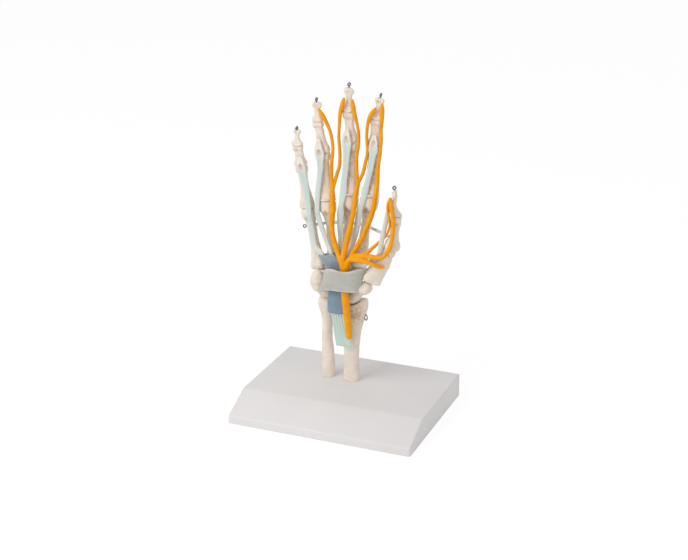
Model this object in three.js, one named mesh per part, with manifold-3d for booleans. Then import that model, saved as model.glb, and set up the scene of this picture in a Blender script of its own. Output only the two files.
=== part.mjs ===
// Anatomical model of a right hand: a wired skeleton with finger tendons, tendon sheath, wrist band
// and median nerve, standing on its two forearm stumps on a moulded base.
// Millimetres. The origin is the centre of the base's footprint, +Z points to the fingertips,
// +X to the thumb side and -Y out of the palm.
import * as THREE from 'three';
import { mergeVertices } from 'three/addons/utils/BufferGeometryUtils.js';
import Module from 'manifold-3d';

const wasm = await Module();
wasm.setup();

// Base
const baseWidth = 180;
const baseDepth = 140;
const baseHeight = 22.4;
const baseLipHeight = 8;
const baseSlopeRun = 33.6;
const baseWall = 3;
const baseEdge = 1.6;
const ribThickness = 1.8;
const ribColumns = 6;
const ribRows = 5;
const towerWall = 2;
const towerSink = 1;
const bossHeight = 8;

// Screws from below into the two forearm bones
const screwShank = 4;
const screwHead = 8;
const screwHeadHeight = 2.6;
const screwBite = 18;
const screwClearance = 0.35;

// Clearances between pieces
const jointGap = 0.5;
const seatGap = 0.35;
const softGap = 0.35;
const sheathSlack = 0.7;

// Steel wire, its bores and its eyes
const wireDiameter = 1.1;
const wireClearance = 0.4;
const eyeDiameter = 3.4;
const eyeStem = 1.4;
const wireBurial = 0.35;
const sleeveDiameter = 2.8;
const sleeveWall = 0.5;

// Forearm bones: each has the middle of its foot and its cross-sections as
// height above the base, shift to the thumb side, width and depth
const radiusFoot = { x: -2, y: 19 };
const radiusSections = [
  [0, 0, 15.6, 12.5],
  [36, 0, 15.2, 12.2],
  [51, 0.6, 18, 13.5],
  [62, 0.3, 24.5, 16],
  [71, -0.2, 31, 18.8],
  [78, -0.4, 33.4, 20],
  [84, -0.2, 31.5, 19],
  [88, 0, 24, 15],
];
const radiusTopHeight = 99.2;
const radiusTopSlope = 19;
const ulnaFoot = { x: -26, y: 20 };
const ulnaSections = [
  [0, 0.2, 14, 13],
  [20, -0.6, 11.8, 11.6],
  [38, -1.5, 10.2, 10.4],
  [56, -1.2, 10, 10.2],
  [65, -1.6, 12, 11.6],
  [72, -2.2, 15.2, 14.4],
  [76.5, -2.2, 15.8, 15],
  [79, -2.3, 13.6, 13],
  [80.2, -2.4, 8, 8],
];
const styloidHeight = 5.5;
const styloidWidth = 5;

// Wrist bones: centre, size and lean towards the thumb side in degrees
const carpals = {
  scaphoid: { at: [5.4, 14.5, 111.5], size: [17, 16, 25], lean: 38 },
  lunate: { at: [-9.5, 18, 109], size: [16, 18, 17], lean: 0 },
  triquetrum: { at: [-26.5, 17, 113], size: [19, 16, 18], lean: -20 },
  pisiform: { at: [-31, 5, 121.5], size: [13.5, 12, 19], lean: 6 },
  trapezium: { at: [18, 8, 121.6], size: [19, 18, 17], lean: 35 },
  trapezoid: { at: [5.5, 18, 133.5], size: [14.5, 17, 19], lean: 8 },
  capitate: { at: [-8, 18.5, 127.5], size: [16, 18, 29], lean: 2 },
  hamate: { at: [-23.5, 16.5, 127.5], size: [18, 17, 22], lean: -8 },
};
const distalRow = { trapezium: ['thumb'], trapezoid: ['index'], capitate: ['middle'], hamate: ['ring', 'little'] };

// Digits. Every bone has its length from joint line to joint line, its lean to the thumb side and
// out of the palm in degrees, and its full widths and depths; a head has its width and its radius.
const rays = {
  thumb: {
    foot: [21.1, 7, 128.5], twist: -70, eyeTurn: 70,
    bones: [
      { name: 'metacarpal_1', length: 46.4, splay: 35.7, pitch: 11.2,
        base: [16, 18.5], waist: [12, 13.5], head: [15, 8.2], block: true },
      { name: 'thumb_proximal_phalanx', length: 34.7, splay: 4.4, pitch: 3.3,
        base: [15, 16.5], waist: [10, 8.8], head: [12.4, 5.2] },
      { name: 'thumb_distal_phalanx', length: 24.5, splay: -4.9, pitch: 0,
        base: [12.6, 10.4], waist: [7, 4.8], tuft: [9.4, 5.2] },
    ],
  },
  index: {
    foot: [6.2, 18, 143], twist: 0, eyeTurn: 65,
    bones: [
      { name: 'metacarpal_2', length: 68.2, splay: 9.6, pitch: 1.7,
        base: [14.2, 16], waist: [8.8, 9.4], head: [17, 8], block: true },
      { name: 'index_proximal_phalanx', length: 48.8, splay: 6.1, pitch: 4.7,
        base: [16.4, 13], waist: [10.4, 8.4], head: [12.6, 4.9] },
      { name: 'index_middle_phalanx', length: 25.7, splay: 5.6, pitch: 4.5,
        base: [14, 10.6], waist: [8.8, 6.8], head: [10.4, 3.5] },
      { name: 'index_distal_phalanx', length: 20, splay: 11.6, pitch: 2.9,
        base: [11.4, 7.6], waist: [5.8, 4.6], tuft: [9, 4] },
    ],
  },
  middle: {
    foot: [-6.9, 19, 141], twist: 0, eyeTurn: 35,
    bones: [
      { name: 'metacarpal_3', length: 67.6, splay: 2.7, pitch: 0.8,
        base: [12.2, 16], waist: [9, 9.8], head: [17, 8.2], block: true },
      { name: 'middle_proximal_phalanx', length: 52.2, splay: 2.7, pitch: 3.8,
        base: [17, 13.4], waist: [10.8, 8.6], head: [13, 5.1] },
      { name: 'middle_middle_phalanx', length: 26.9, splay: -2.4, pitch: 4.3,
        base: [14.6, 11], waist: [8.4, 7], head: [10.6, 3.6] },
      { name: 'middle_distal_phalanx', length: 22.4, splay: 2.3, pitch: 2.6,
        base: [11.6, 8], waist: [5.8, 4.8], tuft: [9.8, 4.2] },
    ],
  },
  ring: {
    foot: [-20, 18, 137.7], twist: 0, eyeTurn: 60,
    bones: [
      { name: 'metacarpal_4', length: 63.5, splay: -4.7, pitch: 1.8,
        base: [11.6, 14], waist: [7.6, 8.2], head: [15.8, 7.5], block: true },
      { name: 'ring_proximal_phalanx', length: 47.5, splay: -2.7, pitch: 4.8,
        base: [15.8, 12.6], waist: [10, 8], head: [12.2, 4.8] },
      { name: 'ring_middle_phalanx', length: 28.5, splay: -7.7, pitch: 5,
        base: [14.6, 10.6], waist: [8.2, 6.6], head: [9.8, 3.4] },
      { name: 'ring_distal_phalanx', length: 17.9, splay: -0.5, pitch: 4.8,
        base: [10.8, 7.6], waist: [5.6, 4.4], tuft: [9.2, 4] },
    ],
  },
  little: {
    foot: [-33.5, 16, 132.4], twist: 0, eyeTurn: 45,
    bones: [
      { name: 'metacarpal_5', length: 61.6, splay: -9.4, pitch: 2.8,
        base: [13.4, 13], waist: [8.8, 7.8], head: [14, 6.8], block: true },
      { name: 'little_proximal_phalanx', length: 41.5, splay: -5.6, pitch: 6.2,
        base: [14.2, 11], waist: [8.8, 7], head: [10.6, 4.2] },
      { name: 'little_middle_phalanx', length: 18.9, splay: -7.7, pitch: 6.1,
        base: [13, 9], waist: [8.6, 5.8], head: [9.6, 3] },
      { name: 'little_distal_phalanx', length: 15.4, splay: 1.5, pitch: 5.6,
        base: [10.8, 6.8], waist: [4.6, 3.8], tuft: [7.8, 3.4] },
    ],
  },
};

// Finger tendons. In the palm and on the fingers a tendon is a flat strap, in the wrist it stands on edge.
// At the sheath's mouth a stop is x, height, width and depth. Over a bone it is the bone, the share of its
// length, the shift to the thumb side, the width and, in the palm, the distance in front of the bone.
const tendonThickness = 2.4;
const strandWidth = 2.65;
const strandDepth = 5;
const slipThickness = 1.9;
const tendonSlit = [2.6, 7.5];
const tendons = {
  flexor_tendon_index: {
    ray: 'index', slot: 3,
    mouth: [[-6.6, 139, 2.8, 4], [-4.2, 146, 3.2, 3], [-0.6, 154, 4.2, 2.4]],
    palm: [[0, 0.3, -6.8, 4.6, 9.2], [0, 0.5, -4.9, 5, 8.9], [0, 0.8, -4.4, 4.8, 9.4]],
    finger: [[1, 0.07, -2.6, 5], [1, 0.26, -1.8, 5], [1, 0.6, 0.2, 5.2], [1, 0.86, 1.3, 6.4]],
    slit: 1.6,
  },
  flexor_tendon_middle: {
    ray: 'middle', slot: 2,
    mouth: [[-9.9, 140, 2.8, 4], [-9.4, 150, 3.6, 2.8], [-8.8, 157, 4.4, 2.4]],
    palm: [[0, 0.37, -2.4, 4.6, 9.6], [0, 0.58, -4.2, 5, 9], [0, 0.85, -3.8, 5, 9.6]],
    finger: [[1, 0.05, -3, 5.4], [1, 0.28, -2.8, 5], [1, 0.54, -1.6, 5.2], [1, 0.84, -1, 6.4]],
    slit: -0.9,
  },
  flexor_tendon_ring: {
    ray: 'ring', slot: 1,
    mouth: [[-13.9, 141, 3, 4.2], [-16, 151, 3.8, 3]],
    palm: [[0, 0.4, 0, 4.8, 9.4], [0, 0.66, -4.6, 5, 8.6],
      [0, 0.84, -6.2, 5, 8.6]],
    finger: [[1, 0.07, -5.2, 5], [1, 0.4, -3.4, 5], [1, 0.66, -1.6, 5.2], [1, 0.86, -0.6, 6.4]],
    slit: -0.4,
  },
  flexor_tendon_little: {
    ray: 'little', slot: 0,
    mouth: [[-16.5, 136, 2.6, 4.2], [-17.6, 140, 2.6, 3.8], [-22.2, 146, 3, 3.4], [-26, 152, 3.6, 2.8]],
    palm: [[0, 0.4, 5.8, 4.8, 9.6], [0, 0.68, 4.4, 5, 8.2], [0, 0.88, 4.2, 5, 8]],
    finger: [[1, 0.1, 4, 5], [1, 0.45, 3.4, 5.6], [1, 0.68, 3, 7], [1, 0.88, 2.8, 7]],
    slit: 2.6,
  },
};

// Carpal tunnel: heights of the sheath's lower end, its straight top and its slanted mouth
const tunnelX = -10.2;
const sheathBackY = 8.6;
const sheathWall = 0.9;
const sheathBottom = 95.3;
const sheathStraightTop = 138;
const sheathMouthTop = 154;
const sheathMouthSlant = 13;
const sheathMouthShift = -11;
const sheathMouthWidth = 19;
const sheathCutX = -12.5;
const sheathCutSlope = 55;
const strandBottom = 63.5;
const strandBottomShift = 6.8;
const strandGap = 0.35;

// Median nerve: diameters of the trunk, of the branches to two fingers and of the finger nerves
const trunkTop = 7.2;
const trunkTip = 5.4;
const commonNerve = 4.8;
const fingerNerve = 3.3;
const nerveSides = 6;
const strapSides = 6;

// Wrist band: its middle line from the little-finger side to the thumb side and its height and thickness
const bandThickness = 1.8;
const bandHeight = 21;
const bandRoute = [
  [-31.5, -0.5, 125.5], [-28, -3.6, 126.5], [-20, -7.2, 128], [-11, -9, 129.6], [-2, -9.6, 131], [6, -9.2, 131.8],
  [11.5, -6.6, 132.2], [14.6, -3.4, 132.6], [16, -0.8, 132.8],
];
const bandEndSlants = [-0.12, 0.28];

// Facets
const boneSides = 10;
const fingerSides = 8;
const knuckleSides = 11;
const pulleySides = 10;
const wireSides = 5;

const rad = THREE.MathUtils.degToRad;
const v = (x, y, z) => new THREE.Vector3(x, y, z);
const lerp = THREE.MathUtils.lerp;

// Closed solid through a stack of rings that all have the same number of points
function loft(rings) {
  const sides = rings[0].length;
  const points = rings.flat();
  const faces = [];
  for (let r = 0; r + 1 < rings.length; r += 1) {
    for (let i = 0; i < sides; i += 1) {
      const a = r * sides + i;
      const b = r * sides + ((i + 1) % sides);
      faces.push(a, b, b + sides, a, b + sides, a + sides);
    }
  }
  const lastRing = points.length - sides;
  const bottom = points.length;
  points.push(middleOf(rings[0]), middleOf(rings.at(-1)));
  for (let i = 0; i < sides; i += 1) {
    const next = (i + 1) % sides;
    faces.push(bottom, next, i, bottom + 1, lastRing + i, lastRing + next);
  }
  const geometry = new THREE.BufferGeometry();
  geometry.setAttribute('position', new THREE.Float32BufferAttribute(points.flatMap((p) => p.toArray()), 3));
  geometry.setIndex(faces);
  return geometry;
}

function middleOf(ring) {
  const middle = v(0, 0, 0);
  ring.forEach((p) => middle.add(p));
  return middle.divideScalar(ring.length);
}

// Horizontal cross-section: squareness 1 is an ellipse and smaller is boxier, flat thins the palm side
function section(z, width, depth, { square = 1, flat = 1, x = 0, y = 0, sides = boneSides } = {}) {
  const ring = [];
  for (let i = 0; i < sides; i += 1) {
    const turn = (2 * Math.PI * (i + 0.5)) / sides;
    const across = Math.sign(Math.cos(turn)) * Math.abs(Math.cos(turn)) ** square;
    const through = Math.sign(Math.sin(turn)) * Math.abs(Math.sin(turn)) ** square;
    ring.push(v(x + (across * width) / 2, y + ((through * depth) / 2) * (through < 0 ? flat : 1), z));
  }
  return ring;
}

// Rings of an oval strap or tube along stops of x, y, z, width and depth; face is the depth direction
function strap(stops, { sides = strapSides, face = v(0, 1, 0) } = {}) {
  return loft(stops.map((stop, k) => {
    const before = v(...stops[Math.max(k - 1, 0)]);
    const after = v(...stops[Math.min(k + 1, stops.length - 1)]);
    const here = v(...stop);
    const into = here.clone().sub(before).normalize();
    const out = after.clone().sub(here).normalize();
    const along = into.add(out).normalize();
    const depthWay = face.clone().addScaledVector(along, -face.dot(along)).normalize();
    const widthWay = depthWay.clone().cross(along);
    const ring = [];
    for (let i = 0; i < sides; i += 1) {
      const turn = (2 * Math.PI * (i + (sides % 4 ? 0 : 0.5))) / sides;
      const point = here.clone().addScaledVector(widthWay, (Math.cos(turn) * stop[3]) / 2);
      ring.push(point.addScaledVector(depthWay, (Math.sin(turn) * stop[4]) / 2));
    }
    return ring;
  }));
}

// More stops along the same smooth curve
function smooth(stops, perSpan) {
  const curve = new THREE.CatmullRomCurve3(stops.map((stop) => v(...stop)), false, 'centripetal');
  const spans = stops.length - 1;
  const result = [];
  for (let k = 0; k <= spans * perSpan; k += 1) {
    const here = Math.min(Math.floor(k / perSpan), spans - 1);
    const share = k / perSpan - here;
    const point = curve.getPoint(k / (spans * perSpan));
    const sizes = [3, 4].map((n) => lerp(stops[here][n], stops[here + 1][n], share));
    result.push([...point.toArray(), ...sizes]);
  }
  return result;
}

// Booleans
function solid(geometry, matrix) {
  const copy = geometry.clone();
  copy.deleteAttribute('normal');
  copy.deleteAttribute('uv');
  if (matrix) copy.applyMatrix4(matrix);
  const merged = mergeVertices(copy, 1e-4);
  const index = merged.index.array;
  const faces = [];
  for (let i = 0; i < index.length; i += 3) {
    const [a, b, c] = [index[i], index[i + 1], index[i + 2]];
    if (a !== b && b !== c && c !== a) faces.push(a, b, c);
  }
  return new wasm.Manifold(new wasm.Mesh({
    numProp: 3,
    vertProperties: new Float32Array(merged.attributes.position.array),
    triVerts: new Uint32Array(faces),
  }));
}

function geometryOf(body) {
  const mesh = body.getMesh();
  const geometry = new THREE.BufferGeometry();
  geometry.setAttribute('position', new THREE.BufferAttribute(new Float32Array(mesh.vertProperties), 3));
  geometry.setIndex(new THREE.BufferAttribute(new Uint32Array(mesh.triVerts), 1));
  return geometry;
}

// Box that takes away everything beyond a plane
function beyond(point, normal, reach = 120) {
  const box = new THREE.BoxGeometry(reach, reach, reach);
  box.translate(0, 0, reach / 2);
  const turn = new THREE.Quaternion().setFromUnitVectors(v(0, 0, 1), normal.clone().normalize());
  return solid(box, new THREE.Matrix4().compose(point, turn, v(1, 1, 1)));
}

// Materials
const finish = (color, roughness, metalness = 0) => new THREE.MeshStandardMaterial({ color, roughness, metalness });
const bone = finish(0xe8dccb, 0.55);
const steel = finish(0x6b6e70, 0.3, 1);
const clear = finish(0xbcc3bf, 0.35);
const tendonPlastic = finish(0xbfd6cf, 0.4);
const sheathPlastic = finish(0x7a93a3, 0.45);
const bandPlastic = finish(0xbdbdb5, 0.5);
const nervePlastic = finish(0xf5a310, 0.3);
const basePlastic = finish(0xe3e0df, 0.6);

const group = new THREE.Group();

// Adds a piece that was modelled in place, with its own frame as the mesh's position and rotation
function add(name, body, material, frame = new THREE.Matrix4()) {
  const geometry = body.isBufferGeometry ? body : geometryOf(body);
  geometry.applyMatrix4(frame.clone().invert());
  geometry.computeVertexNormals();
  const mesh = new THREE.Mesh(geometry, material);
  mesh.name = name;
  mesh.applyMatrix4(frame);
  group.add(mesh);
  return mesh;
}

// Lays the bones of a ray end to end and gives each its frame
function layOut(ray) {
  let start = v(...ray.foot);
  for (const part of ray.bones) {
    const turn = new THREE.Euler(rad(part.pitch), rad(part.splay), rad(ray.twist), 'YXZ');
    part.frame = new THREE.Matrix4().compose(start, new THREE.Quaternion().setFromEuler(turn), v(1, 1, 1));
    part.plainFrame = part.frame.clone().multiply(new THREE.Matrix4().makeRotationZ(rad(-ray.twist)));
    part.axis = v(0, 0, 1).applyEuler(turn);
    part.start = start.clone();
    part.end = start.clone().addScaledVector(part.axis, part.length);
    if (part.head) part.hingeZ = part.length - jointGap / 2 - part.head[1];
    start = part.end;
  }
}
Object.values(rays).forEach(layOut);

// Point beside a bone: share of its length, shift to the thumb side and distance out of the palm
function beside(rayName, boneIndex, share, side, palm) {
  const part = rays[rayName].bones[boneIndex];
  return v(side, -palm, share * part.length).applyMatrix4(part.plainFrame);
}

// Head of a bone, turned about its hinge: a knuckle ball, or a pulley with two rims and a groove
function headShape(part, grow) {
  const [width, radius] = part.head;
  const half = width / 2;
  const profile = [];
  if (part.block) {
    const rings = 5;
    for (let i = 0; i <= rings; i += 1) {
      const turn = (Math.PI * i) / rings;
      profile.push([(radius + grow) * Math.sin(turn) ** 0.8, -(half + grow) * Math.cos(turn)]);
    }
  } else {
    const rim = radius + grow;
    const end = half + grow;
    profile.push([0, -end], [rim * 0.8, -end], [rim, -half * 0.62], [rim * 0.86, 0]);
    profile.push([rim, half * 0.62], [rim * 0.8, end], [0, end]);
  }
  const lathe = new THREE.LatheGeometry(profile.map(([r, x]) => new THREE.Vector2(Math.max(r, 0), x)),
    part.block ? knuckleSides : pulleySides);
  lathe.rotateZ(-Math.PI / 2);
  lathe.translate(0, 0, part.hingeZ);
  return solid(lathe, part.frame);
}

// Shaft of a bone from just below its base face to inside its head
function shaft(part, baseZ) {
  const { base, waist, length, head, tuft, block } = part;
  const top = length - jointGap / 2;
  const long = top - jointGap / 2;
  const blend = (share, k) => lerp(base[k], waist[k], share);
  const square = block ? 0.72 : 0.88;
  const sides = block ? boneSides : fingerSides;
  const rings = [
    section(baseZ, base[0] * 0.86, base[1] * 0.86, { square, flat: 0.92, sides }),
    section(jointGap / 2 + long * 0.05, base[0], base[1], { square, flat: 0.94, sides }),
    section(long * 0.17, blend(0.24, 0), blend(0.32, 1), { square, flat: 0.94, sides }),
    section(long * 0.32, blend(0.76, 0), blend(0.78, 1), { square: 0.9, flat: 0.88, sides }),
    section(long * 0.52, waist[0], waist[1], { square: 0.95, flat: 0.84, sides }),
  ];
  if (tuft) {
    rings.push(section(long * 0.68, lerp(waist[0], tuft[0], 0.35), lerp(waist[1], tuft[1], 0.5), { sides }));
    rings.push(section(long * 0.8, tuft[0], tuft[1], { sides }));
    rings.push(section(top - long * 0.07, tuft[0] * 0.92, tuft[1] * 0.9, { sides }));
    rings.push(section(top, tuft[0] * 0.5, tuft[1] * 0.5, { sides }));
  } else {
    const [width, radius] = head;
    const neck = [Math.max(width * 0.82, waist[0]), radius * (block ? 1.5 : 1.6)];
    rings.push(section(lerp(long * 0.52, part.hingeZ, 0.6), lerp(waist[0], neck[0], 0.35),
      lerp(waist[1], neck[1], 0.5), { flat: 0.88, sides }));
    rings.push(section(part.hingeZ - radius * 0.45, neck[0], neck[1], { flat: 0.94, sides }));
    rings.push(section(part.hingeZ + radius * 0.2, neck[0] * 0.8, neck[1] * 0.8, { sides }));
  }
  return solid(loft(rings), part.frame);
}

// Eye at the end of a wire: three quarters of a turn in the plane of rise and side
function eyeStops(foot, rise, side) {
  const turns = 8;
  const opening = rad(38);
  const centre = foot.clone().addScaledVector(rise, eyeDiameter / 2 + 0.2);
  const stops = [];
  for (let i = 1; i <= turns; i += 1) {
    const turn = ((2 * Math.PI - opening) * i) / turns;
    const point = centre.clone().addScaledVector(rise, (-Math.cos(turn) * eyeDiameter) / 2);
    stops.push(point.addScaledVector(side, (Math.sin(turn) * eyeDiameter) / 2).toArray());
  }
  return stops;
}

// Wire through one digit, blind in the metacarpal and with an eye above the tip
function rayWirePoints(ray) {
  const first = ray.bones[0];
  const points = [first.start.clone().addScaledVector(first.axis, first.length * wireBurial)];
  ray.bones.filter((part) => part.head).forEach((part) => {
    points.push(part.start.clone().addScaledVector(part.axis, part.hingeZ));
  });
  const last = ray.bones.at(-1);
  points.push(last.end.clone().addScaledVector(last.axis, eyeStem));
  return points;
}

function wireTube(points, diameter, faceWay) {
  return solid(strap(points.map((p) => [...p.toArray(), diameter, diameter]), { sides: wireSides, face: faceWay }));
}

// Bones of one digit with the hinge, the bore for the wire and the bore for the cross wire
const bones = {};
function makeBones(ray) {
  const bore = wireTube(rayWirePoints(ray), wireDiameter + 2 * wireClearance, v(0, 1, 0));
  ray.bones.forEach((part, i) => {
    const below = ray.bones[i - 1];
    const baseZ = below ? jointGap / 2 - below.head[1] * 0.42 : jointGap / 2;
    let body = shaft(part, baseZ);
    if (part.head) body = body.add(headShape(part, 0));
    if (below) body = body.subtract(headShape(below, jointGap));
    bones[part.name] = body.subtract(bore);
  });
}
Object.values(rays).forEach(makeBones);

// Wrist bones: ovals that meet at flat seams, cut off at the feet of the metacarpals they carry
function oval(carpal, grow) {
  const ball = new THREE.SphereGeometry(0.5, 11, 7);
  ball.rotateX(Math.PI / 2);
  const size = v(...carpal.size).addScalar(2 * grow);
  const turn = new THREE.Quaternion().setFromAxisAngle(v(0, 1, 0), rad(carpal.lean));
  return solid(ball, new THREE.Matrix4().compose(v(...carpal.at), turn, size));
}

function reachTowards(carpal, way) {
  const local = way.clone().applyAxisAngle(v(0, 1, 0), -rad(carpal.lean));
  const half = carpal.size.map((size) => size / 2);
  return 1 / Math.hypot(local.x / half[0], local.y / half[1], local.z / half[2]);
}

function makeCarpal(name) {
  const own = carpals[name];
  const centre = v(...own.at);
  let body = oval(own, 0);
  for (const [otherName, other] of Object.entries(carpals)) {
    const way = v(...other.at).sub(centre);
    const distance = way.length();
    way.normalize();
    const mine = reachTowards(own, way);
    const theirs = reachTowards(other, way.clone().negate());
    if (otherName !== name && mine + theirs > distance * 0.8) {
      const seam = (distance * mine) / (mine + theirs) - seatGap / 2;
      body = body.subtract(beyond(centre.clone().addScaledVector(way, seam), way));
    }
  }
  for (const rayName of distalRow[name] || []) {
    const carried = rays[rayName].bones[0];
    body = body.subtract(beyond(carried.start.clone().addScaledVector(carried.axis, -seatGap / 2), carried.axis));
  }
  return body;
}
Object.keys(carpals).forEach((name) => { bones[name] = makeCarpal(name); });

// Forearm bones, standing on the base
const deckZ = baseHeight + seatGap / 3;
function forearm(foot, sections) {
  return solid(loft(sections.map(([height, shift, width, depth]) => (
    section(deckZ + height, width, depth, { square: 0.9, flat: 0.9, x: foot.x + shift, y: foot.y })
  ))));
}
function screwHole(foot) {
  const hole = new THREE.CylinderGeometry(screwShank / 2 + screwClearance, screwShank / 2 + screwClearance,
    2 * (screwBite + screwClearance), 10);
  hole.rotateX(Math.PI / 2);
  hole.translate(foot.x, foot.y, deckZ);
  return solid(hole);
}
const slopeWay = v(-Math.sin(rad(radiusTopSlope)), 0, Math.cos(rad(radiusTopSlope)));
let radiusBody = forearm(radiusFoot, radiusSections);
radiusBody = radiusBody.subtract(beyond(v(tunnelX, radiusFoot.y, radiusTopHeight), slopeWay));
radiusBody = radiusBody.subtract(oval(carpals.scaphoid, seatGap)).subtract(oval(carpals.lunate, seatGap));
bones.radius = radiusBody.subtract(screwHole(radiusFoot));

const ulnaTop = ulnaSections.at(-1);
const ulnaStyloid = solid(loft([
  section(deckZ + ulnaTop[0] - 5, styloidWidth, styloidWidth, { x: ulnaFoot.x - 8.4, y: ulnaFoot.y + 3.4, sides: 8 }),
  section(deckZ + ulnaTop[0] - 0.5, styloidWidth * 0.9, styloidWidth * 0.9,
    { x: ulnaFoot.x - 8.2, y: ulnaFoot.y + 3.6, sides: 8 }),
  section(deckZ + ulnaTop[0] + styloidHeight - 5, styloidWidth * 0.4, styloidWidth * 0.4,
    { x: ulnaFoot.x - 8, y: ulnaFoot.y + 3.8, sides: 8 }),
]));
bones.ulna = forearm(ulnaFoot, ulnaSections).add(ulnaStyloid).subtract(screwHole(ulnaFoot));

// Cross wire from the little-finger side through the four metacarpals to the thumb
const crossShares = { little: 0.69, ring: 0.64, middle: 0.58, index: 0.55 };
const crossDepth = 1.2;
const strutShare = 0.36;
const onBone = (rayName, boneIndex, share) => beside(rayName, boneIndex, share, 0, -crossDepth);
const crossPoints = Object.entries(crossShares).map(([rayName, share]) => onBone(rayName, 0, share));
const strutInset = 2.6;
const strutFull = beside('thumb', 1, strutShare, 0, 0);
const strutWay = strutFull.clone().sub(crossPoints.at(-1)).normalize();
const strutEnd = strutFull.clone().addScaledVector(strutWay, -strutInset);
const littleHalf = rays.little.bones[0].waist[0] / 2;
const crossWay = crossPoints[0].clone().sub(crossPoints[1]).normalize();
const crossEyeFoot = crossPoints[0].clone().addScaledVector(crossWay, littleHalf + 0.9);
const crossRoute = [crossEyeFoot, ...crossPoints, strutEnd];
const crossBore = wireTube(crossRoute, wireDiameter + 2 * wireClearance, v(0, 0, 1));
['metacarpal_2', 'metacarpal_3', 'metacarpal_4', 'metacarpal_5', 'thumb_proximal_phalanx'].forEach((name) => {
  bones[name] = bones[name].subtract(crossBore);
});

// Wrist wire through both forearm bones
const wristZ = 88;
const wristY = 17.5;
const wristStart = v(-26, wristY + 1, wristZ - 1);
const wristEnd = v(11.6, wristY, wristZ);
const wristWay = wristEnd.clone().sub(wristStart).normalize();
const wristBore = wireTube([wristStart, wristEnd.clone().addScaledVector(wristWay, 4)],
  wireDiameter + 2 * wireClearance, v(0, 0, 1));
bones.radius = bones.radius.subtract(wristBore);
bones.ulna = bones.ulna.subtract(wristBore);

// Base: side outline with rounded corners, drawn across the width, then hollowed between its ribs
function traySolid(inset) {
  const front = -baseDepth / 2 + inset;
  const back = baseDepth / 2 - inset;
  const top = baseHeight - inset;
  const slope = (baseHeight - baseLipHeight) / baseSlopeRun;
  const kneeY = -baseDepth / 2 + baseSlopeRun;
  const outline = new THREE.Shape();
  outline.moveTo(front, inset ? -1 : 0);
  outline.lineTo(front, baseLipHeight - inset * Math.hypot(1, slope) + slope * inset);
  outline.lineTo(kneeY, top);
  outline.lineTo(back, top);
  outline.lineTo(back, inset ? -1 : 0);
  const bevel = inset ? 0 : baseEdge;
  const depth = baseWidth - 2 * inset - 2 * bevel;
  const tray = new THREE.ExtrudeGeometry(outline, {
    depth, bevelEnabled: bevel > 0, bevelThickness: bevel, bevelSize: bevel, bevelOffset: -bevel, bevelSegments: 2,
    steps: 1,
  });
  tray.translate(0, 0, -depth / 2);
  tray.rotateY(Math.PI / 2);
  tray.rotateX(Math.PI / 2);
  return solid(tray);
}
let hollow = traySolid(baseWall);
const insideWidth = baseWidth - 2 * baseWall;
const insideDepth = baseDepth - 2 * baseWall;
for (let i = 1; i < ribColumns; i += 1) {
  const rib = new THREE.BoxGeometry(ribThickness, baseDepth, 3 * baseHeight);
  rib.translate(-insideWidth / 2 + (insideWidth * i) / ribColumns, 0, 0);
  hollow = hollow.subtract(solid(rib));
}
for (let i = 1; i < ribRows; i += 1) {
  const rib = new THREE.BoxGeometry(baseWidth, ribThickness, 3 * baseHeight);
  rib.translate(0, -insideDepth / 2 + (insideDepth * i) / ribRows, 0);
  hollow = hollow.subtract(solid(rib));
}
let base = traySolid(0);
const accessRadius = screwHead / 2 + 1;
const bossBottom = baseHeight - baseWall - bossHeight;
for (const foot of [radiusFoot, ulnaFoot]) {
  const towerRadius = accessRadius + towerWall;
  const tower = new THREE.CylinderGeometry(towerRadius, towerRadius, 2 * baseHeight, 14);
  tower.rotateX(Math.PI / 2);
  tower.translate(foot.x, foot.y, towerSink + baseHeight);
  hollow = hollow.subtract(solid(tower));
}
base = base.subtract(hollow);
for (const foot of [radiusFoot, ulnaFoot]) {
  const access = new THREE.CylinderGeometry(accessRadius, accessRadius, bossBottom + 2, 12);
  access.rotateX(Math.PI / 2);
  access.translate(foot.x, foot.y, (bossBottom - 2) / 2);
  base = base.subtract(solid(access));
  const hole = new THREE.CylinderGeometry(screwShank / 2 + screwClearance, screwShank / 2 + screwClearance, 60, 10);
  hole.rotateX(Math.PI / 2);
  hole.translate(foot.x, foot.y, 0);
  base = base.subtract(solid(hole));
}
add('base', base, basePlastic);

// Screws: pan head against the boss, shank up into the bone
function screw(foot) {
  const seat = bossBottom - seatGap;
  const profile = [
    [0, seat - screwHeadHeight], [screwHead * 0.32, seat - screwHeadHeight],
    [screwHead / 2, seat - screwHeadHeight * 0.45], [screwHead / 2, seat], [screwShank / 2, seat],
    [screwShank / 2, deckZ + screwBite - 2], [0, deckZ + screwBite],
  ];
  const body = new THREE.LatheGeometry(profile.map(([r, z]) => new THREE.Vector2(r, z)), 10);
  body.rotateX(Math.PI / 2);
  body.translate(foot.x, foot.y, 0);
  return solid(body);
}
add('radius_screw', screw(radiusFoot), steel);
add('ulna_screw', screw(ulnaFoot), steel);

// Bones
add('radius', bones.radius, bone);
add('ulna', bones.ulna, bone);
for (const [name, carpal] of Object.entries(carpals)) {
  add(name, bones[name], bone, new THREE.Matrix4().makeTranslation(...carpal.at));
}
for (const ray of Object.values(rays)) {
  for (const part of ray.bones) add(part.name, bones[part.name], bone, part.frame);
}

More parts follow.
